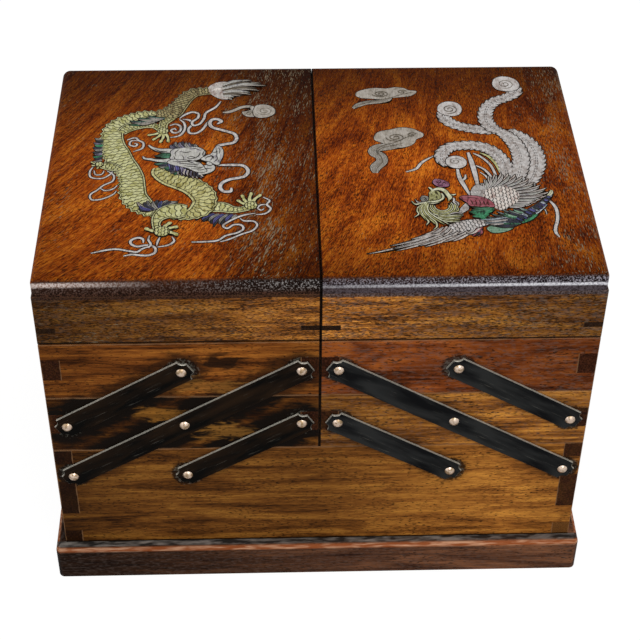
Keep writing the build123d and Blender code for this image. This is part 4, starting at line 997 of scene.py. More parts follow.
MATH = "ShaderNodeMath"
VECTOR = "ShaderNodeVectorMath"
NOISE = "ShaderNodeTexNoise"
RAMP = "ShaderNodeValToRGB"
MIX = "ShaderNodeMix"
RANGE = "ShaderNodeMapRange"
SPLIT = "ShaderNodeSeparateXYZ"
PLACE = "ShaderNodeTexCoord"
BUMP = "ShaderNodeBump"
TIMES = (MATH, "MULTIPLY")
TIMES_PLUS = (MATH, "MULTIPLY_ADD")
PLUS = (MATH, "ADD")
MINUS = (MATH, "SUBTRACT")
SIZE = (MATH, "ABSOLUTE")
LESSER = (MATH, "MINIMUM")
GREATER = (MATH, "MAXIMUM")
OFFSET = (VECTOR, "SUBTRACT")
STRETCHED = (VECTOR, "MULTIPLY")
MIRRORED = (VECTOR, "ABSOLUTE")
LENGTH = (VECTOR, "LENGTH")
DISTANCE = (VECTOR, "DISTANCE")
DOT = (VECTOR, "DOT_PRODUCT")
CURVE = {"interpolation_type": "SMOOTHSTEP"}
COLOUR = {"data_type": "RGBA"}
MULTIPLIED = {"data_type": "RGBA", "blend_type": "MULTIPLY"}


def new_material(name):
    """An empty node material and its Principled shader."""
    material = bpy.data.materials.new(name)
    material.use_nodes = True
    tree = material.node_tree
    shader = next(node for node in tree.nodes if node.type == "BSDF_PRINCIPLED")
    return material, tree, shader


def object_place(tree):
    """Object coordinates in millimetres."""
    place = add(tree, PLACE, out="Object")
    return add(tree, VECTOR, {0: place, "Scale": 1 / MM}, operation="SCALE", out="Vector")


def speckle(tree, place, size, detail=2.0, bend=0.0, shift=0.0):
    """Noise whose features measure size millimetres along X, Y and Z."""
    stretched = add(tree, VECTOR, {0: place, 1: tuple(1 / length for length in size),
                                   2: (shift, 0.7 * shift, 1.3 * shift)},
                    operation="MULTIPLY_ADD")
    return add(tree, NOISE, {"Vector": stretched, "Scale": 1.0, "Detail": detail,
                             "Distortion": bend}, out="Fac")


def along(axis, length, width):
    """A size of length along one axis and width along the others."""
    return tuple(length if name == axis else width for name in "XYZ")


def leaned(tree, here, lean, middle):
    """The place as the grain sees it: grain along Y drifts in X by a share that varies with X.

    The first share is the drift at the board's middle and the second its change for each
    millimetre of X.
    """
    offset = add(tree, OFFSET, [here, middle])
    x, y = add(tree, SPLIT, [offset]).node.outputs[:2]
    share = add(tree, TIMES_PLUS, [x, lean[1], lean[0]])
    drift = add(tree, TIMES, [share, y])
    drift = add(tree, "ShaderNodeCombineXYZ", {"X": drift})
    return add(tree, OFFSET, [here, drift])


def facing(tree):
    """The way that a face looks, by its X, Y and Z."""
    return add(tree, SPLIT, [add(tree, PLACE, out="Normal")]).node.outputs


def coat(tree, shader, layers):
    """Link the layers of a finish to their sockets of the shader."""
    for name, layer in layers.items():
        tree.links.new(layer, shader.inputs[name])


def laid(tree, colour, tint, value, low, high, most=1.0):
    """The colour with a tint over it, from none where the value is low to most where it is high."""
    cover = add(tree, RANGE, {"Value": value, "From Min": low, "From Max": high, "To Max": most},
                **CURVE)
    return add(tree, MIX, {"Factor": cover, "A": colour, "B": tint}, **COLOUR)


def measured(tree, value, stops):
    """A share that follows a coordinate, by stops at places in millimetres."""
    low, high = stops[0][0], stops[-1][0]
    share = add(tree, RANGE, {"Value": value, "From Min": low, "From Max": high})
    return add(tree, RAMP, {"Fac": share},
               [((place - low) / (high - low), level) for place, level in stops])


def shaded(tree, colour, value, stops):
    """The colour darkened along one coordinate, by shares at places in millimetres."""
    return add(tree, MIX, {"Factor": 1.0, "A": colour, "B": measured(tree, value, stops)},
               **MULTIPLIED)


def from_pivot(tree, place, start, end):
    """The span of an arm and the place as seen from the arm's first pivot."""
    span = np.array([end[0] - start[0], 0.0, end[1] - start[1]])
    return span, add(tree, OFFSET, [place, (start[0], 0, start[1])])


def near_arms(tree, spot):
    """Distance in millimetres to the nearest arm's middle line and to its nearest end.

    The place is mirrored to the right front quarter first, and its depth behind the outer
    face counts three times. Along each line it is held between the two ends, and the distance
    is taken to the point found so.
    """
    mirrored = add(tree, STRETCHED, [spot, (1, DEPTH_SHARE, 1)])
    mirrored = add(tree, MIRRORED, [mirrored])
    mirrored = add(tree, OFFSET, [mirrored, (0, DEPTH_SHARE * OUTER_FACE, 0)])
    line, tip = None, None
    for start, end in PIVOTS.values():
        span, offset = from_pivot(tree, mirrored, start, end)
        share = add(tree, DOT, [offset, tuple(span / (span @ span))], out="Value")
        share = add(tree, PLUS, [share, 0.0], use_clamp=True)
        foot = add(tree, VECTOR, {0: tuple(span), "Scale": share}, operation="SCALE",
                   out="Vector")
        far = add(tree, DISTANCE, [offset, foot], out="Value")
        first = add(tree, LENGTH, [offset], out="Value")
        last = add(tree, DISTANCE, [offset, tuple(span)], out="Value")
        ends = add(tree, LESSER, [first, last])
        line = far if line is None else add(tree, LESSER, [line, far])
        tip = ends if tip is None else add(tree, LESSER, [tip, ends])
    return line, tip


def sooted_and_shaded(tree, colour, spot, wisp, seed, amount):
    """Soot, partly painted shadow, in wisps along the arms, and soot in a ring round their ends,
    scraped pale in places.
    """
    settings = bpy.context.scene.box_wood
    soot_and_shade = tuple(settings.soot_and_shade)
    line, tip = near_arms(tree, spot)
    line = add(tree, TIMES_PLUS, [wisp, WISP_CARRY, line])
    reach = SOOT_AND_SHADE_REACH + SOOT_AND_SHADE_SPREAD * amount
    colour = laid(tree, colour, soot_and_shade, line, reach, reach - SOOT_AND_SHADE_FADE, amount)
    scrape = speckle(tree, spot, SCRAPES, 3, 0.6, seed)
    rim = add(tree, TIMES_PLUS, [scrape, 5.0, tip])
    colour = laid(tree, colour, soot_and_shade, rim, *SOOT_RING, 0.85)
    mark = add(tree, TIMES_PLUS, [scrape, -24.0, rim])
    return laid(tree, colour, tuple(settings.scraped), mark, -1.6, -4.4, 0.4)


def to_edge(tree, spot, low, high):
    """Distance in millimetres to a board's nearest sharp edge, where two faces meet.

    It is the second least of the distances along X, Y and Z to the nearest faces.
    """
    inside = add(tree, OFFSET, [spot, tuple(low)])
    beyond = add(tree, OFFSET, [tuple(high), spot])
    near = add(tree, VECTOR, [inside, beyond], operation="MINIMUM")
    x, y, z = add(tree, SPLIT, [near]).node.outputs
    less = add(tree, LESSER, [x, y])
    more = add(tree, GREATER, [x, y])
    edge = add(tree, LESSER, [more, z])
    return add(tree, GREATER, [less, edge])


def seam_shade(tree, x, look):
    """Painted shade in the seam between the halves: how far a place lies in it, on faces that don't
    look into it.
    """
    darker = measured(tree, x, [(-1.0, 0.0), (-0.6, 0.98), (0.6, 0.98), (1.0, 0.0)])
    aside = add(tree, SIZE, [look["X"]])
    aside = add(tree, RANGE, {"Value": aside, "From Min": 0.98, "From Max": 0.9})
    return add(tree, TIMES, [darker, aside])


def wood(name, axis, tones, box, tint="#ffffff", across=None, back=None, seed=0.0,
         lean=(0.0, 0.0), spread=0.105, broad=0.46, fine=0.22, figures=(75, 10), fibres=(7.0, 0.5),
         salts=(0.4, 0.4, 0.4), pores=0.5, dashes=(2.8, 0.6), glints=None, veil=0.0, worn_and_lit=0.5,
         soot_and_shade=0.0, foot=0.0, rolls=(), blots=(), ends="end_grain", gloss=0.3):
    """Rosewood under a thin shellac polish.

    Broad figure, streaks and fibres run along the grain. Open pores are short dark dashes, a
    few of them pale, as wax and as painted glints, and a grey haze, partly painted sheen, lies on
    the polish. End grain is dark and speckled, sharp edges are rubbed pale with a painted
    highlight along them, near-black painted shade fills the seam between the halves, a painted
    shadow lies at the foot of some boards, and soot, partly painted shadow, and scratches lie
    round the arms. Rolls are bands of speckle from a darker to a lighter tone, mostly painted
    highlights, reflections and shade on rounded edges and ledges, placed by the way a face looks
    or by millimetres up and back from the lower front edge.
    """
    settings = bpy.context.scene.box_wood
    material, tree, shader = new_material(name)
    spot = object_place(tree)
    x, y, z = add(tree, SPLIT, [spot]).node.outputs
    look = facing(tree)
    low, high = (np.array([value / MM for value in corner]) for corner in box)
    here = leaned(tree, spot, lean, tuple((low + high) / 2)) if any(lean) else spot

    def grained(size, detail, bend, shift):
        return speckle(tree, here, along(axis, *size), detail, bend, seed + shift)

    figure = grained(figures, 3, 1.1, 0)
    streak = grained(STREAKS, 3, 0.3, 5)
    fibre = grained(fibres, 2, 0, 9)
    tone = add(tree, TIMES, [figure, broad])
    tone = add(tree, TIMES_PLUS, [streak, 1 - broad - fine, tone])
    tone = add(tree, TIMES_PLUS, [fibre, fine, tone])
    dark, mid, light = (tuple(getattr(settings, f"{tones}_{part}"))
                        for part in ("dark", "middle", "light"))
    colour = add(tree, RAMP, {"Fac": tone}, [(0.5 - spread, dark), (0.5, mid),
                                             (0.5 + spread, light)])
    colour = add(tree, MIX, {"Factor": 1.0, "A": colour, "B": linear(tint)}, **MULTIPLIED)
    if across:
        colour = shaded(tree, colour, x, across)
    if back:
        colour = shaded(tree, colour, y, back)
    # soot with painted shadow along the arms
    if soot_and_shade:
        colour = sooted_and_shaded(tree, colour, spot, grained(WISPS, 3, 0.8, 51), seed + 55, soot_and_shade)
    grain = add(tree, RANGE, {"Value": streak, "From Min": 0.35, "From Max": 0.65,
                              "To Min": 0.6, "To Max": 1.35})
    for centre, size, stain, share in blots:
        offset = add(tree, OFFSET, [spot, centre])
        offset = add(tree, VECTOR, [offset, size], operation="DIVIDE")
        far = add(tree, LENGTH, [offset], out="Value")
        far = add(tree, TIMES_PLUS, [grained(BLOT_EDGES, 3, 1.0, 61), 2.6, far])
        stain = add(tree, MIX, {"Factor": 1.0, "A": linear(stain), "B": grain}, **MULTIPLIED)
        colour = laid(tree, colour, stain, far, 2.4, 1.8, share)
    pore = add(tree, TIMES_PLUS,
               [grained(PORE_CROWDS, 2, 0, 13), 0.3, grained(dashes, 1, 0.3, 17)])
    fewest = 0.78 - 0.16 * pores
    colour = laid(tree, colour, tuple(settings.pore), pore, fewest, fewest + 0.08,
                  settings.pore_depth)
    # pale wax in the pores and painted glints, each with a dark dash beside it
    if glints:
        wax_and_glints = add(tree, TIMES_PLUS,
                  [grained(WAX_CROWDS, 2, 0.5, 37), 0.4, grained(WAX_DASHES, 1, 0.2, 31)])
        wax_and_glints = add(tree, TIMES_PLUS, [measured(tree, x, glints), 0.2, wax_and_glints])
        colour = laid(tree, colour, tuple(settings.pore), wax_and_glints, 0.985, 1.01, 0.7)
        colour = laid(tree, colour, tuple(settings.wax_and_glints), wax_and_glints, 1.02, 1.07, 0.85)
    # haze on the polish, partly painted sheen, in grey clouds
    if veil:
        haze_and_sheen = speckle(tree, spot, HAZE_CLOUDS, 3, 0.4, seed + 43)
        colour = laid(tree, colour, tuple(settings.haze_and_sheen), haze_and_sheen, 0.46, 0.66, veil)
    speck = speckle(tree, spot, END_SPECKS, 2, 0, seed + 23)
    speck = add(tree, RAMP, {"Fac": speck}, [(0.40, 0.45), (0.52, 0.9), (0.62, 2.4)])
    ending = add(tree, MIX, {"Factor": 1.0, "A": tuple(getattr(settings, ends)), "B": speck},
                 **MULTIPLIED)
    if across:
        ending = shaded(tree, ending, x, across)
    end = add(tree, SIZE, [look[axis]])
    colour = laid(tree, colour, ending, end, 0.35, 0.8, 0.9)
    salt = speckle(tree, spot, salts, 2, 0.3, seed + 29)
    climb = add(tree, PLUS, [y, z])
    climb = add(tree, MINUS, [climb, float(low[1] + low[2])])
    # rolls: painted highlights, reflections and shade on rounded edges and ledges, and dark joint
    # lines, each a speckle from a darker to a lighter tone
    for darker, lighter, start, stop, reach, stops in rolls:
        roll = add(tree, RAMP, {"Fac": salt}, [(start, linear(darker)), (stop, linear(lighter))])
        place = look["Z"] if stops[-1][0] <= 1 else climb
        share = add(tree, TIMES, [measured(tree, place, stops), measured(tree, x, reach)])
        colour = add(tree, MIX, {"Factor": share, "A": colour, "B": roll}, **COLOUR)
    # sharp edges rubbed pale, with a painted highlight along them
    rub = speckle(tree, spot, RUBBED, 3, 0, seed + 41)
    edge = add(tree, TIMES_PLUS, [rub, -1.4, to_edge(tree, spot, low, high)])
    colour = laid(tree, colour, tuple(settings.worn_and_lit), edge, 0.0, -0.5, worn_and_lit)
    # painted shadow: a near-black band at the foot of the board, for the gap under the lids' rims
    # and the groove above the plinth's ledge
    if foot:
        up = add(tree, MINUS, [z, float(low[2])])
        up = add(tree, TIMES_PLUS, [rub, 0.8, up])
        colour = laid(tree, colour, tuple(settings.pore), up, foot + 0.8, foot + 0.1, 0.95)
    # painted shade: near-black along the seam between the halves, where the gap lies in shadow
    if low[0] * high[0] > 0:
        colour = add(tree, MIX, {"Factor": seam_shade(tree, x, look), "A": colour,
                                 "B": tuple(settings.seam)}, **COLOUR)
    rough = add(tree, TIMES_PLUS, [fibre, 0.2, gloss])
    rough = add(tree, TIMES_PLUS, [streak, 0.15, rough])
    relief = add(tree, TIMES_PLUS, [pore, -1.0, fibre])
    bump = add(tree, BUMP, {"Height": relief, "Strength": 0.4, "Distance": 0.1 * MM})
    coat(tree, shader, {"Base Color": colour, "Roughness": rough, "Normal": bump})
    polish = settings.lid_polish if tones == "lid" else settings.polish
    shader.inputs["Specular IOR Level"].default_value = polish
    return material


def shell(name, body, second, third):
    """Mother-of-pearl, ground flat and engraved.

    Its layers show as soft clouds of a second and a third colour and as fine growth lines. The
    engraving is filled with black lacquer, which the ink attribute places.
    """
    material, tree, shader = new_material(name)
    here = object_place(tree)
    cloud = speckle(tree, here, SHELL_CLOUDS, 3, 0.8, 3.0)
    glow = speckle(tree, here, SHELL_GLOW, 2, 1.2, 8.0)
    tone = add(tree, "ShaderNodeAttribute", attribute_name="tone", out="Fac")
    share = add(tree, TIMES_PLUS, [tone, 0.6, cloud])
    colour = laid(tree, linear(body), linear(second), share, 0.5, 1.0)
    colour = laid(tree, colour, linear(third), glow, 0.5, 0.7)
    growth = speckle(tree, here, GROWTH_LINES, 2, 0.6, 5.0)
    growth = add(tree, RAMP, {"Fac": growth}, [(0.35, 0.82), (0.62, 1.08)])
    colour = add(tree, MIX, {"Factor": 1.0, "A": colour, "B": growth}, **MULTIPLIED)
    ink = add(tree, "ShaderNodeAttribute", attribute_name="ink", out="Fac")
    black = tuple(bpy.context.scene.box_shell.lacquer)
    colour = add(tree, MIX, {"Factor": ink, "A": colour, "B": black}, **COLOUR)
    bump = add(tree, BUMP, {"Height": growth, "Strength": 0.15, "Distance": 0.05 * MM})
    rough = add(tree, TIMES_PLUS, [ink, 0.2, 0.26])
    mirror = add(tree, TIMES_PLUS, [ink, -0.13, 0.15])
    coat(tree, shader, {"Base Color": colour, "Roughness": rough, "Normal": bump,
                        "Specular IOR Level": mirror})
    return material


def lacquer():
    """Black lacquer that fills round the shell and in its engraving, dull in its hollows."""
    material, tree, shader = new_material("black_lacquer")
    dust = speckle(tree, object_place(tree), LACQUER_DUST, 3)
    black = tuple(bpy.context.scene.box_shell.lacquer)
    colour = add(tree, RAMP, {"Fac": dust}, [(0.4, black), (0.75, linear("#3a2c20"))])
    rough = add(tree, TIMES_PLUS, [dust, 0.3, 0.3])
    coat(tree, shader, {"Base Color": colour, "Roughness": rough})
    shader.inputs["Specular IOR Level"].default_value = DULL
    return material


def arm_metal(name, start, end, skin, brown, bloom_share):
    """Blackened steel strip, rubbed bare along its edges and at its ends.

    The edges that face up or end the arm carry a painted highlight over the bare steel, and the
    flat face has brown bloom, partly painted sheen, and fine scratches along its length.
    """
    bare = tuple(bpy.context.scene.box_metal.arm_bare_and_highlight)
    material, tree, shader = new_material(name)
    spot = object_place(tree)
    mirrored = add(tree, STRETCHED, [spot, (1, 0, 1)])
    mirrored = add(tree, MIRRORED, [mirrored])
    span, offset = from_pivot(tree, mirrored, start, end)
    length = np.linalg.norm(span)
    way = span / length
    reach = add(tree, DOT, [offset, tuple(way)], out="Value")
    lift = add(tree, DOT, [offset, (-way[2], 0, way[0])], out="Value")
    flat = add(tree, "ShaderNodeCombineXYZ", {"X": reach, "Z": lift})
    bloom = speckle(tree, flat, BLOOM_CLOUDS, 3, 0.5, 9.0 * bloom_share)
    scratch = speckle(tree, flat, SCRATCHES, 2, 0.2, 6.0)
    fleck = speckle(tree, spot, FLECKS, 2, 0, 12.0)
    # brown bloom on the flat face, partly painted sheen
    colour = add(tree, RAMP, {"Fac": bloom}, [(0.40, skin), (0.95 - 0.4 * bloom_share, brown)])
    colour = laid(tree, colour, bare, scratch, 0.66, 0.76, 0.12)
    # painted highlight on the edges that face up and at the arm's ends, over bare steel
    look = facing(tree)
    side = add(tree, SIZE, [look["Y"]])
    side = add(tree, RANGE, {"Value": side, "From Min": 0.92, "From Max": 0.6}, **CURVE)
    up = add(tree, RANGE, {"Value": look["Z"], "From Min": 0.3, "From Max": 0.85}, **CURVE)
    middle = add(tree, MINUS, [reach, length / 2])
    middle = add(tree, SIZE, [middle])
    ending = add(tree, RANGE, {"Value": middle, "From Min": length / 2 - SHINE_BEFORE,
                               "From Max": length / 2 + SHINE_BEYOND}, **CURVE)
    bright = add(tree, TIMES_PLUS, [ending, 0.45, up])
    worn_and_lit = add(tree, RANGE, {"Value": fleck, "From Min": 0.3, "From Max": 0.6, "To Min": 0.6})
    bright = add(tree, TIMES, [bright, worn_and_lit])
    bright = add(tree, TIMES, [bright, side], use_clamp=True)
    colour = add(tree, MIX, {"Factor": bright, "A": colour, "B": bare}, **COLOUR)
    rough = add(tree, RANGE, {"Value": bloom, "From Min": 0.3, "From Max": 0.7, "To Min": 0.34,
                              "To Max": 0.55})
    metal = add(tree, TIMES, [bright, 0.5])
    bump = add(tree, BUMP, {"Height": scratch, "Strength": 0.2, "Distance": 0.05 * MM})
    coat(tree, shader, {"Base Color": colour, "Roughness": rough, "Normal": bump,
                        "Metallic": metal})
    shader.inputs["Specular IOR Level"].default_value = DULL
    return material


def worn_metal(name, bright, dull, rough_low, rough_high, scale):
    """Cast and turned metal with its shine rubbed through a dull skin in patches."""
    material, tree, shader = new_material(name)
    spot = object_place(tree)
    skin = speckle(tree, spot, (scale, scale, scale), 3, 0.4, 1.0)
    turned = speckle(tree, spot, TOOL_MARKS, 2, 0, 4.0)
    colour = laid(tree, bright, dull, skin, 0.42, 0.62)
    rough = add(tree, RANGE, {"Value": skin, "From Min": 0.35, "From Max": 0.65,
                              "To Min": rough_low, "To Max": rough_high})
    bump = add(tree, BUMP, {"Height": turned, "Strength": 0.12, "Distance": 0.04 * MM})
    coat(tree, shader, {"Base Color": colour, "Roughness": rough, "Normal": bump})
    shader.inputs["Metallic"].default_value = 1.0
    return material


# Mother-of-pearl and abalone by kind: main, second and third colour
SHELL_TONES = {
    "gold": ("#c2be7a", "#dedda6", "#a39f56"),
    "olive": ("#b9b06a", "#dcd79a", "#94883e"),
    "bronze": ("#8e7a48", "#b2a472", "#6e5a30"),
    "pearl": ("#bfb5af", "#e0dbd8", "#ac9f98"),
    "white": ("#b9b6ac", "#d8d6d0", "#a49ea4"),
    "oyster": ("#a39889", "#c2bab0", "#90877a"),
    "fan": ("#e6d9ce", "#efe6df", "#bea49a"),
    "umber": ("#544a3c", "#746856", "#3e362c"),
    "smoke": ("#85817a", "#b4b0a6", "#5a585a"),
    "night": ("#1c1c20", "#40405a", "#283a34"),
    "indigo": ("#34346a", "#6c69ac", "#2e3e5c"),
    "green": ("#2c4c3e", "#5a9478", "#2a3650"),
    "violet": ("#5c5468", "#a8a0ba", "#35323e"),
    "leaf": ("#26794f", "#58b482", "#12402c"),
    "leaf_dark": ("#1c4c33", "#5c9c78", "#0e2a1c"),
    "teal": ("#607c72", "#c8d6d0", "#263630"),
    "ice": ("#98a6b0", "#d2dae0", "#727f88"),
    "mint": ("#78a488", "#a6caae", "#528268"),
    "rose": ("#a84652", "#cb7884", "#762a34"),
    "plum": ("#94587a", "#bc86a2", "#7e3a58"),
    "straw": ("#a3a066", "#cfcd90", "#6c6836"),
    "straw_pale": ("#ccca9e", "#e9e9cc", "#aeae7e"),
}


def inlay_finish(kind):
    """The material of one kind of shell or of the lacquer, made once."""
    found = bpy.data.materials.get("black_lacquer" if kind == "lacquer" else f"{kind}_shell")
    if found:
        return found
    return lacquer() if kind == "lacquer" else shell(f"{kind}_shell", *SHELL_TONES[kind])


def tone(name, code):
    """A colour property with its sRGB default."""
    return bpy.props.FloatVectorProperty(name=name, description=f"Colour of {name.lower()}",
                                         subtype="COLOR", size=3, min=0, max=1,
                                         default=linear(code))


def factor(name, default, about):
    """A property that goes from 0 to 1."""
    return bpy.props.FloatProperty(name=name, description=about, subtype="FACTOR", min=0, max=1,
                                   default=default)


def quantity(name, default, about, least=0.0):
    """A property with a least value."""
    return bpy.props.FloatProperty(name=name, description=about, min=least, default=default)


def turn(name, default, about):
    """A property for an angle in radians."""
    return bpy.props.FloatProperty(name=name, description=about, subtype="ANGLE",
                                   default=default)


class BoxWood(bpy.types.PropertyGroup):
    """Colours and pores of the wood."""

    lid_dark: tone("Lid wood, dark", "#5a1c06")
    lid_middle: tone("Lid wood, middle", "#b55212")
    lid_light: tone("Lid wood, light", "#f28a26")
    board_dark: tone("Board wood, dark", "#45260e")
    board_middle: tone("Board wood, middle", "#935a24")
    board_light: tone("Board wood, light", "#c98839")
    plinth_dark: tone("Plinth wood, dark", "#2c1710")
    plinth_middle: tone("Plinth wood, middle", "#5e3c29")
    plinth_light: tone("Plinth wood, light", "#8a5a3c")
    # pore: open pores, also the painted shadow at the foot of some boards
    pore: tone("Open pores", "#120a05")
    # wax in the pores, also the colour of painted glints
    wax_and_glints: tone("Wax in the pores", "#98866c")
    # haze on the polish, also painted sheen
    haze_and_sheen: tone("Haze on the polish", "#70615a")
    end_grain: tone("End grain", "#35231c")
    board_ends: tone("Ends of the joints", "#32190f")
    rim_ends: tone("Ends of the lids' joints", "#1c120e")
    # seam: painted shade in the seam between the halves
    seam: tone("Dirt in the seam", "#070504")
    # rubbed edges, also painted highlight along them
    worn_and_lit: tone("Rubbed edges", "#9c7350")
    # soot round the arms, which is also painted shadow along them
    soot_and_shade: tone("Soot round the arms", "#120c08")
    scraped: tone("Scraped wood", "#77766c")
    pore_depth: factor("Pore darkness", 0.8, "How dark the pores are")
    polish: factor("Polish", 0.03, "Strength of the shine")
    lid_polish: factor("Polish of the lids", 0.014, "Strength of the lids' shine")


class BoxMetal(bpy.types.PropertyGroup):
    """Colours of the metal."""

    left_arm: tone("Left arm", "#060504")
    # bloom: brown patches, partly painted sheen
    left_bloom: tone("Bloom on the left arm", "#2a1c10")
    right_arm: tone("Right arm", "#0d0e10")
    # bloom: grey patches, partly painted sheen
    right_bloom: tone("Bloom on the right arm", "#2b2c2c")
    # bare steel, also the painted highlight on the arms' edges
    arm_bare_and_highlight: tone("Bare steel", "#d2cdbf")
    pin_bright: tone("Pin head", "#d8c2b0")
    pin_dull: tone("Dull pin head", "#9a8264")
    hinge_bright: tone("Hinge", "#b8924e")
    hinge_dull: tone("Dull hinge", "#6e5226")


class BoxShell(bpy.types.PropertyGroup):
    """Colours of the inlay."""

    lacquer: tone("Lacquer", "#0f0b08")


class BoxStage(bpy.types.PropertyGroup):
    """The camera, the lamps and the floor."""

    eye: bpy.props.FloatVectorProperty(name="Camera place", subtype="TRANSLATION",
                                       unit="LENGTH", default=(-0.024417, -0.727374, 0.758226),
                                       description="Where the camera stands")
    yaw: turn("Camera turn", 0.0381157, "Turn of the view to the right of straight on")
    pitch: turn("Camera tilt", 0.7276974, "Tilt of the view below the horizon")
    roll: turn("Camera roll", 0.0121396, "Roll of the camera about its view")
    lens: quantity("Focal length", 90.0024, "Focal length in millimetres", 1.0)
    key: quantity("Key lamp", 10.0, "Power of the key lamp in watts")
    fill: quantity("Fill lamp", 4.0, "Power of the fill lamp in watts")
    sky: quantity("Sky", 0.45, "Strength of the light from all round")
    floor: tone("Floor", "#f6f5f3")
    paper: factor("White paper", 0.85, "How much of the floor's white is even")


class OBJECT_OT_box_boards(bpy.types.Operator):
    """Give every board its wood"""

    bl_idname = "object.box_boards"
    bl_label = "Boards"

    def execute(self, context):
        for node, (grain, tones, look) in boards().items():
            assign(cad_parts[node],
                   wood(f"{node}_rosewood", grain, tones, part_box(node), **look))
        return {"FINISHED"}


class OBJECT_OT_box_arms(bpy.types.Operator):
    """Give the twelve arms their blackened steel"""

    bl_idname = "object.box_arms"
    bl_label = "Arms"

    def execute(self, context):
        for kind, (start, end) in PIVOTS.items():
            for side, share in (("left", 0.5), ("right", 0.8)):
                skin, bloom = (tuple(getattr(context.scene.box_metal, f"{side}_{part}"))
                               for part in ("arm", "bloom"))
                material = arm_metal(f"{side}_{kind}_blackened_steel", start, end, skin, bloom,
                                     share)
                for face in ("front", "rear"):
                    assign(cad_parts[f"{face}_{side}_{kind}"], material)
        return {"FINISHED"}


class OBJECT_OT_box_fittings(bpy.types.Operator):
    """Give the pins and hinges their metal"""

    bl_idname = "object.box_fittings"
    bl_label = "Pins and hinges"

    def execute(self, context):
        settings = context.scene.box_metal
        pin = worn_metal("nickelled_brass", tuple(settings.pin_bright), tuple(settings.pin_dull),
                         0.22, 0.42, 2.2)
        hinge = worn_metal("aged_brass", tuple(settings.hinge_bright),
                           tuple(settings.hinge_dull), 0.3, 0.5, 5.0)
        for name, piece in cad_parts.items():
            if "pivot_pins" in name:
                assign(piece, pin)
            if "hinge" in name:
                assign(piece, hinge)
        return {"FINISHED"}


class OBJECT_OT_box_dragon(bpy.types.Operator):
    """Inlay the dragon in the left lid"""

    bl_idname = "object.box_dragon"
    bl_label = "Dragon"

    def execute(self, context):
        inlay = Inlay()
        for name, (level, kind, size, belly, places) in SCALED.items():
            teeth = {}
            if name in SPINES:
                side, length = SPINES[name]
                teeth[side] = spines(length)
            inlay.band(kind, places, level, pattern=scales(size, belly), **teeth)
        for level, palm, radius, tips in PAWS.values():
            inlay.paw(level, palm, radius, tips)
        for name, (level, spine, outline) in DRAGON_PEARL.items():
            kind, pattern = ("fan", hair) if name == "tail_root" else ("white", plain)
            inlay.piece(kind, outline, spine, level, pattern=pattern)
        inlay.clouds("dragon", plain)
        for places in HORNS:
            inlay.band("white", places, HORN_LEVEL)
        for level, half, places in DRAGON_STROKES.values():
            inlay.band("pearl", tapered(half, places, *STROKE_ENDS), level)
        for level, kind, count, half, bend, roots, tips in DRAGON_LOCKS.values():
            inlay.hair(level, kind, count, half, bend, roots, tips)
        for level, half, places in DRAGON_LINES:
            inlay.line(level, places, half)
        for wind in SPIRALS["dragon"]:
            inlay.line(1, spiral(*wind), WOUND, "umber")
        inlay.build("dragon", "left_lid", "dragon_inlay")
        return {"FINISHED"}


class OBJECT_OT_box_phoenix(bpy.types.Operator):
    """Inlay the phoenix in the right lid"""

    bl_idname = "object.box_phoenix"
    bl_label = "Phoenix"

    def execute(self, context):
        inlay = Inlay()
        for level, length, places in PLUMES.values():
            teeth = serrate(length)
            inlay.band("pearl", places, level, pattern=barbs(length), left=teeth, right=teeth)
        for level, spine, outline in CURLS.values():
            inlay.piece("pearl", outline, spine, level)
        inlay.clouds("phoenix", hair)
        for level, kind, half, places in PHOENIX_STROKES.values():
            inlay.band(kind, tapered(half, places, *STROKE_ENDS), level)
        for level, kind, count, half, bend, roots, tips in PHOENIX_LOCKS.values():
            inlay.hair(level, kind, count, half, bend, roots, tips)
        for level, kind, size, places in PHOENIX_BANDS.values():
            pattern = scales(size, border=False) if size else hair
            inlay.band(kind, places, level, pattern=pattern)
        for level, kind, size, spine, outline in PHOENIX_PATCHES.values():
            pattern = scales(size, border=False) if size else hair
            inlay.piece(kind, outline, spine, level, pattern=pattern)
        inlay.put("lacquer", ribbon(MANE_BED, MANE_LEVEL, crown=0, grow=RIM, top=BED, step=BED_STEP))
        for i, (radius, first, last) in enumerate(MANE_RINGS):
            angle = np.radians(np.linspace(first, last, RING_PLACES))
            places = np.stack([MANE_CENTRE[0] + radius * np.cos(angle),
                               MANE_CENTRE[1] + radius * np.sin(angle)], 1)
            kind = ("straw_pale", "straw")[i % 2]
            level = MANE_LEVEL + 1 + MANE_LIFT * (i % 2)
            inlay.band(kind, tapered(RING_HALF, places, *RING_ENDS), level)
        for i, (kind, half, places) in enumerate(MANE_LOCKS):
            level = MANE_LEVEL + 2 + MANE_LIFT * (i % 2)
            inlay.band(kind, tapered(half, places, *LOCK_ENDS), level)
        for level, places in PHOENIX_LINES:
            inlay.line(level, places)
        for wind in SPIRALS["phoenix"]:
            inlay.line(3, spiral(*wind), WOUND, "umber")
        for places in CLOUD_LINES:
            inlay.line(1, places, fill="umber")
        level, size, spine, outline = BODY
        inlay.put("fan", patch(outline, spine, level, pattern=scales(size, border=False)))
        inlay.build("phoenix", "right_lid", "phoenix_inlay")
        return {"FINISHED"}


class OBJECT_OT_box_stage(bpy.types.Operator):
    """Set the floor, the lamps, the backdrop and the camera"""

    bl_idname = "object.box_stage"
    bl_label = "Stage"

    def execute(self, context):
        settings = context.scene.box_stage
        context.scene.view_settings.view_transform = "Standard"
        lay_floor(settings)
        light_world(settings)
        for name, (size, place) in LAMPS.items():
            lamp(f"{name}_lamp", getattr(settings, name), size, place)
        place_camera(settings)
        return {"FINISHED"}


def assign(piece, material):
    """Put one material in every slot of a piece."""
    if not piece.material_slots:
        piece.data.materials.append(material)
    for place in piece.material_slots:
        place.material = material


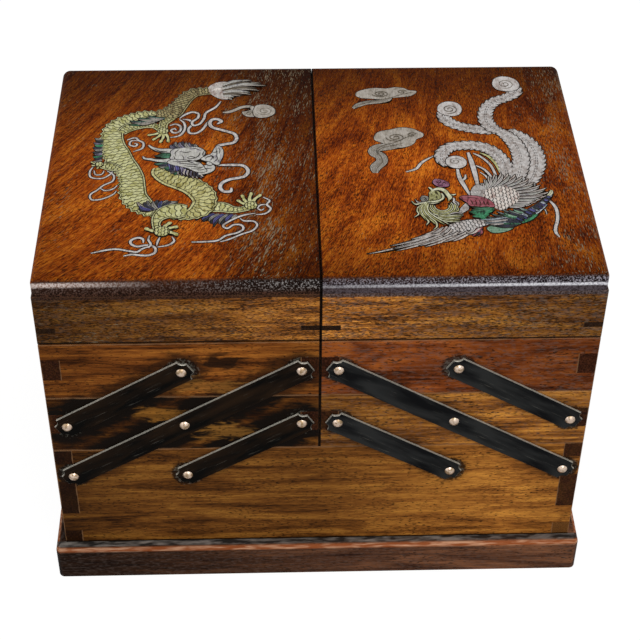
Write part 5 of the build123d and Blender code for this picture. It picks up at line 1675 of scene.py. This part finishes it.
def boards():
    """The grain, the tones and the look of each board by its node's name.

    Shades are shares of the full tone at places in millimetres, read off the real box.
    """
    made = {}
    # Each tray: shades across, tint, and share of soot with painted shadow round the arms
    fronts = {
        "left_lower_tray": ([(-150, 0.2), (-110, 0.25), (-60, 0.36), (-1.8, 0.36)],
                            "#fff0e6", 1.0),
        "left_upper_tray": ([(-150, 0.46), (-100, 0.68), (-40, 0.74), (-1.8, 0.6)],
                            "#ffeade", 0.75),
        "right_lower_tray": ([(1.8, 0.6), (60, 0.95), (110, 1.25), (150, 0.9)],
                             "#ffffff", 0.4),
        "right_upper_tray": ([(1.8, 0.6), (55, 0.8), (90, 0.62), (150, 0.44)],
                             "#ffd2d6", 0.3),
    }
    blots = {
        "left_lower_tray_front": (((-88, -100, 131), (13, 50, 6), "#9c6828", 0.6),
                                  ((-52, -100, 117), (17, 50, 8), "#a87432", 0.6)),
        "left_upper_tray_front": (((-52, -100, 170), (14, 50, 6), "#1a0f08", 0.9),
                                  ((-62, -100, 152), (26, 50, 6), "#a87232", 0.45)),
    }
    calm = {"broad": 0.6, "fine": 0.14, "figures": (55, 16), "spread": 0.12}
    veils = (0.0, 0.0, 0.2, 0.3)
    for i, (name, (across, tint, soot_and_shade)) in enumerate(fronts.items()):
        look = {"seed": 11.0 * i + 1.5, "tint": tint, "ends": "board_ends",
                **(calm if name == "right_upper_tray" else {})}
        for part in ("front", "rear"):
            made[f"{name}_{part}"] = ("X", "board", {**look, "across": across, "soot_and_shade": soot_and_shade,
                                                     "pores": 0.22, "veil": veils[i],
                                                     "blots": blots.get(f"{name}_{part}", ())})
        sides = {**look, "across": [(-150, 0.6), (150, 0.65)]}
        for part in ("inner_side", "outer_side"):
            made[f"{name}_{part}"] = ("Y", "board", sides)
        made[f"{name}_bottom"] = ("X", "board", look)
    rims = {
        "left_lid": ([(-150, 0.26), (-115, 0.42), (-60, 0.78), (-20, 1.35), (-1.8, 1.25)],
                     0.15, "#1a110e", "#4a3026"),
        "right_lid": ([(1.8, 1.85), (40, 1.5), (60, 1.0), (110, 0.7), (150, 0.5)],
                      0.35, "#231c1e", "#665c5e"),
    }
    for i, (name, (across, veil, darker, lighter)) in enumerate(rims.items()):
        band = (darker, lighter, 0.4, 0.64, [(-150, 1.0), (150, 1.0)],
                [(30.3, 0.0), (31, 0.9), (33, 0.9)])
        look = {"seed": 7.0 * i + 53.0, "pores": 0.8, "veil": veil, "foot": 0.9, "worn_and_lit": 0.1,
                "ends": "rim_ends", "dashes": (2.0, 0.45), "fibres": (4.0, 0.5), "fine": 0.3,
                "glints": [(-150, 0.55), (-20, 0.4), (20, 0.4), (150, 0.55)]}
        for part, rolls in (("front_rim", (band,)), ("rear_rim", ())):
            made[f"{name}_{part}"] = ("X", "board", {**look, "across": across, "rolls": rolls,
                                                     "salts": (0.85, 0.85, 0.85)})
        sides = {**look, "across": [(-150, 0.55), (150, 0.6)]}
        for part in ("inner_rim", "outer_rim"):
            made[f"{name}_{part}"] = ("Y", "board", sides)
    across = [(-150, 0.3), (-100, 0.54), (0, 0.58), (60, 0.95), (110, 1.2), (150, 0.9)]
    look = {"seed": 71.0, "pores": 0.22, "foot": 1.2, "ends": "board_ends", "spread": 0.125,
            "fine": 0.3, "fibres": (5.5, 0.45)}
    for part in ("base_front", "base_rear"):
        # soot with painted shadow round the arms on the base as well
        made[part] = ("X", "board", {**look, "across": across, "soot_and_shade": 0.4})
    joint = ("#50321a", "#8c5c2a", 0.4, 0.62, [(0, 0.0), (1, 0.9)],
             [(0, 0.9), (10.2, 0.9), (10.8, 0.0)])
    for part in ("base_left_side", "base_right_side"):
        made[part] = ("Y", "board", {**look, "across": [(-150, 0.3), (150, 0.75)],
                                     "rolls": (joint,)})
    # painted shade and reflection: a dark grey band with pale lines on the plinth's ledge
    ledge_shade_and_sheen = ("#2c2a28", "#8a827b", 0.42, 0.66, [(-155, 1.0), (155, 1.0)],
             [(26.1, 0.0), (27.4, 0.9), (30.8, 0.9), (31.2, 0.0)])
    # painted highlight: a reddish band going pale on the plinth's rounded edge
    edge = ("#a4582e", "#ecb48e", 0.44, 0.7, [(-155, 0.75), (155, 1.0)],
            [(0.1, 0.0), (0.4, 0.85), (0.8, 0.85), (0.95, 0.0)])
    made["plinth"] = ("X", "plinth", {
        "seed": 83.0, "spread": 0.15, "salts": (12, 3, 1.2), "worn_and_lit": 0.0, "pores": 0.15,
        "veil": 0.22, "rolls": (edge, ledge_shade_and_sheen),
        "across": [(-155, 0.1), (-60, 0.42), (0, 0.86), (60, 1.25), (155, 1.25)]})
    lid = {"worn_and_lit": 0.0, "pores": 0.5, "fine": 0.42, "fibres": (3.2, 0.5), "dashes": (2.2, 0.42),
           "salts": (0.85, 0.85, 0.85), "veil": 0.02}
    brown = ("#1a100c", "#573a2d", 0.42, 0.66, [(-150, 1.0), (0, 0.9)],
             [(0, 0.95), (2.6, 0.95), (4.6, 0.6), (7, 0.3), (9.5, 0.0)])
    # painted highlight: pale sparkle on dark along the left lid's rounded front edge
    salt = ("#120d0c", "#aaa6a4", 0.52, 0.64, [(-150, 0.22), (-80, 0.2), (-30, 0.65), (0, 0.92)],
            [(1.5, 0.0), (3.5, 0.55), (5.5, 0.8), (9, 0.8), (11, 0.0)])
    # painted highlight near the left end of the left lid's rounded front edge
    corner = ("#957a6e", "#dacac4", 0.4, 0.56, [(-155, 1.0), (-132, 0.9), (-85, 0.0)],
              [(5.8, 0.0), (7.2, 1.0), (9, 1.0), (10.3, 0.0)])
    made["left_lid_top"] = ("Y", "lid", {
        **lid, "seed": 91.0, "lean": (0.45, -0.0036), "rolls": (brown, salt, corner),
        "spread": 0.112, "broad": 0.26, "figures": (45, 12),
        "glints": [(-150, 0.45), (-90, 0.2), (-60, 0.5), (-30, 1.05), (0, 0.85)],
        "across": [(-150, 0.64), (-115, 0.96), (-60, 1.06), (-38, 0.5), (-1.8, 0.3)],
        "back": [(-100, 0.6), (-60, 0.9), (0, 1.0), (35, 0.7), (70, 0.34), (100, 0.17)]})
    # painted reflection: a bluish grey band on the right lid's rounded front edge
    painted_reflection = ("#2c2426", "#5e565c", 0.36, 0.62, [(0, 0.75), (60, 0.95), (150, 1.0)],
            [(0, 0.95), (3.5, 0.95), (5.5, 0.85), (7.5, 0.5), (9, 0.0)])
    # painted reflection: a dark band with pale specks above the white line
    black = ("#171216", "#a7a2ac", 0.48, 0.62, [(0, 0.6), (60, 0.8), (150, 1.0)],
             [(5, 0.0), (6, 0.9), (9.4, 0.75), (11.4, 0.0)])
    # painted highlight: a white line along the right lid's rounded front edge
    painted_highlight = ("#a8a5b0", "#f4f4fa", 0.34, 0.54, [(0, 0.25), (40, 0.5), (80, 0.8), (150, 1.0)],
             [(3.5, 0.0), (4.3, 1.0), (5.3, 1.0), (6.1, 0.0)])
    made["right_lid_top"] = ("Y", "lid", {
        **lid, "seed": 97.0, "lean": (0.16, -0.003), "rolls": (painted_reflection, black, painted_highlight),
        "spread": 0.118, "broad": 0.38, "figures": (34, 18),
        "glints": [(0, 0.2), (60, 0.1), (100, 0.3), (130, 0.8), (150, 1.0)],
        "across": [(1.8, 0.84), (40, 1.06), (95, 0.96), (125, 0.82), (150, 0.66)],
        "back": [(-100, 0.42), (-60, 0.84), (0, 1.02), (45, 0.66), (70, 0.38), (100, 0.17)]})
    return made


# In metres: how far the floor reaches from the middle, each lamp's side and place, the height
# that the lamps point at, and the width of the camera's sensor in millimetres
FLOOR_REACH = 4.0
LAMPS = {"key": (0.9, (0.35, -1.1, 1.55)), "fill": (1.2, (-1.3, -0.5, 1.1))}
AIM_HEIGHT = 0.12
SENSOR = 36.0


def lay_floor(settings):
    """A pale floor that keeps the shadow and looks white to the camera where it is lit."""
    x, y = np.meshgrid((-FLOOR_REACH, FLOOR_REACH), (-FLOOR_REACH, FLOOR_REACH))
    mesh = bpy.data.meshes.new("floor")
    corners = np.stack([x, y, 0 * x], -1).reshape(-1, 3)
    mesh.from_pydata(corners.tolist(), [], [(0, 1, 3, 2)])
    material, tree, shader = new_material("paper_floor")
    shader.inputs["Base Color"].default_value = (*settings.floor, 1)
    shader.inputs["Roughness"].default_value = 0.9
    shader.inputs["Specular IOR Level"].default_value = 0.1
    camera_ray = add(tree, "ShaderNodeLightPath", out="Is Camera Ray")
    share = add(tree, TIMES, [camera_ray, settings.paper])
    white = add(tree, "ShaderNodeEmission", {"Color": (1, 1, 1), "Strength": 1.1})
    mixed = add(tree, "ShaderNodeMixShader", {0: share, 1: shader.outputs[0], 2: white})
    output = next(node for node in tree.nodes if node.type == "OUTPUT_MATERIAL")
    tree.links.new(mixed, output.inputs["Surface"])
    mesh.materials.append(material)
    floor = bpy.data.objects.new("floor", mesh)
    bpy.context.scene.collection.objects.link(floor)


def light_world(settings):
    """A soft light from all round, which the camera, gloss and glass see as white."""
    world = bpy.data.worlds.new("studio")
    bpy.context.scene.world = world
    world.use_nodes = True
    tree = world.node_tree
    background = next(node for node in tree.nodes if node.type == "BACKGROUND")
    rays = add(tree, "ShaderNodeLightPath").node.outputs
    seen = add(tree, GREATER, [rays["Is Camera Ray"], rays["Is Glossy Ray"]])
    seen = add(tree, GREATER, [seen, rays["Is Transmission Ray"]])
    strength = add(tree, MIX, {"Factor": seen, "A": settings.sky, "B": 1.0}, data_type="FLOAT")
    tree.links.new(strength, background.inputs["Strength"])
    background.inputs["Color"].default_value = (1, 1, 1, 1)


def lamp(name, power, size, place):
    """A square lamp that points at the box."""
    data = bpy.data.lights.new(name, "AREA")
    data.energy = power
    data.size = size
    made = bpy.data.objects.new(name, data)
    bpy.context.scene.collection.objects.link(made)
    made.location = place
    way = made.location.copy()
    way.z -= AIM_HEIGHT
    made.rotation_euler = way.to_track_quat("Z", "Y").to_euler()


def place_camera(settings):
    """The camera, from its place, turn, tilt and roll."""
    yaw, pitch, roll = settings.yaw, settings.pitch, settings.roll
    ahead = np.array([sin(yaw) * cos(pitch), cos(yaw) * cos(pitch), -sin(pitch)])
    level = np.array([cos(yaw), -sin(yaw), 0.0])
    up = np.cross(level, ahead)
    right = cos(roll) * level + sin(roll) * up
    above = -sin(roll) * level + cos(roll) * up
    data = bpy.data.cameras.new("camera")
    data.lens = settings.lens
    data.sensor_width = SENSOR
    camera = bpy.data.objects.new("camera", data)
    bpy.context.scene.collection.objects.link(camera)
    turned = Matrix(np.stack([right, above, -ahead], 1).tolist()).to_4x4()
    turned.translation = settings.eye
    camera.matrix_world = turned
    bpy.context.scene.camera = camera


OPERATORS = (OBJECT_OT_box_boards, OBJECT_OT_box_arms, OBJECT_OT_box_fittings,
             OBJECT_OT_box_dragon, OBJECT_OT_box_phoenix, OBJECT_OT_box_stage)
GROUPS = {"box_wood": BoxWood, "box_metal": BoxMetal, "box_shell": BoxShell,
          "box_stage": BoxStage}


class VIEW3D_PT_expanding_box(bpy.types.Panel):
    """The pieces of the box and their sizes and colours"""

    bl_label = "Expanding Box"
    bl_space_type = "VIEW_3D"
    bl_region_type = "UI"
    bl_category = "Expanding Box"

    def draw(self, context):
        for operator in OPERATORS:
            self.layout.operator(operator.bl_idname)
        for name, group in GROUPS.items():
            box = self.layout.box()
            for field in group.__annotations__:
                box.prop(getattr(context.scene, name), field)


def register():
    for name, group in GROUPS.items():
        bpy.utils.register_class(group)
        setattr(bpy.types.Scene, name, bpy.props.PointerProperty(type=group))
    for operator in OPERATORS:
        bpy.utils.register_class(operator)
    bpy.utils.register_class(VIEW3D_PT_expanding_box)


def unregister():
    bpy.utils.unregister_class(VIEW3D_PT_expanding_box)
    for operator in reversed(OPERATORS):
        bpy.utils.unregister_class(operator)
    for name, group in reversed(GROUPS.items()):
        delattr(bpy.types.Scene, name)
        bpy.utils.unregister_class(group)


def main():
    """Make and dress every piece."""
    register()
    for operator in OPERATORS:
        family, name = operator.bl_idname.split(".")
        getattr(getattr(bpy.ops, family), name)()


if __name__ == "__main__":
    main()
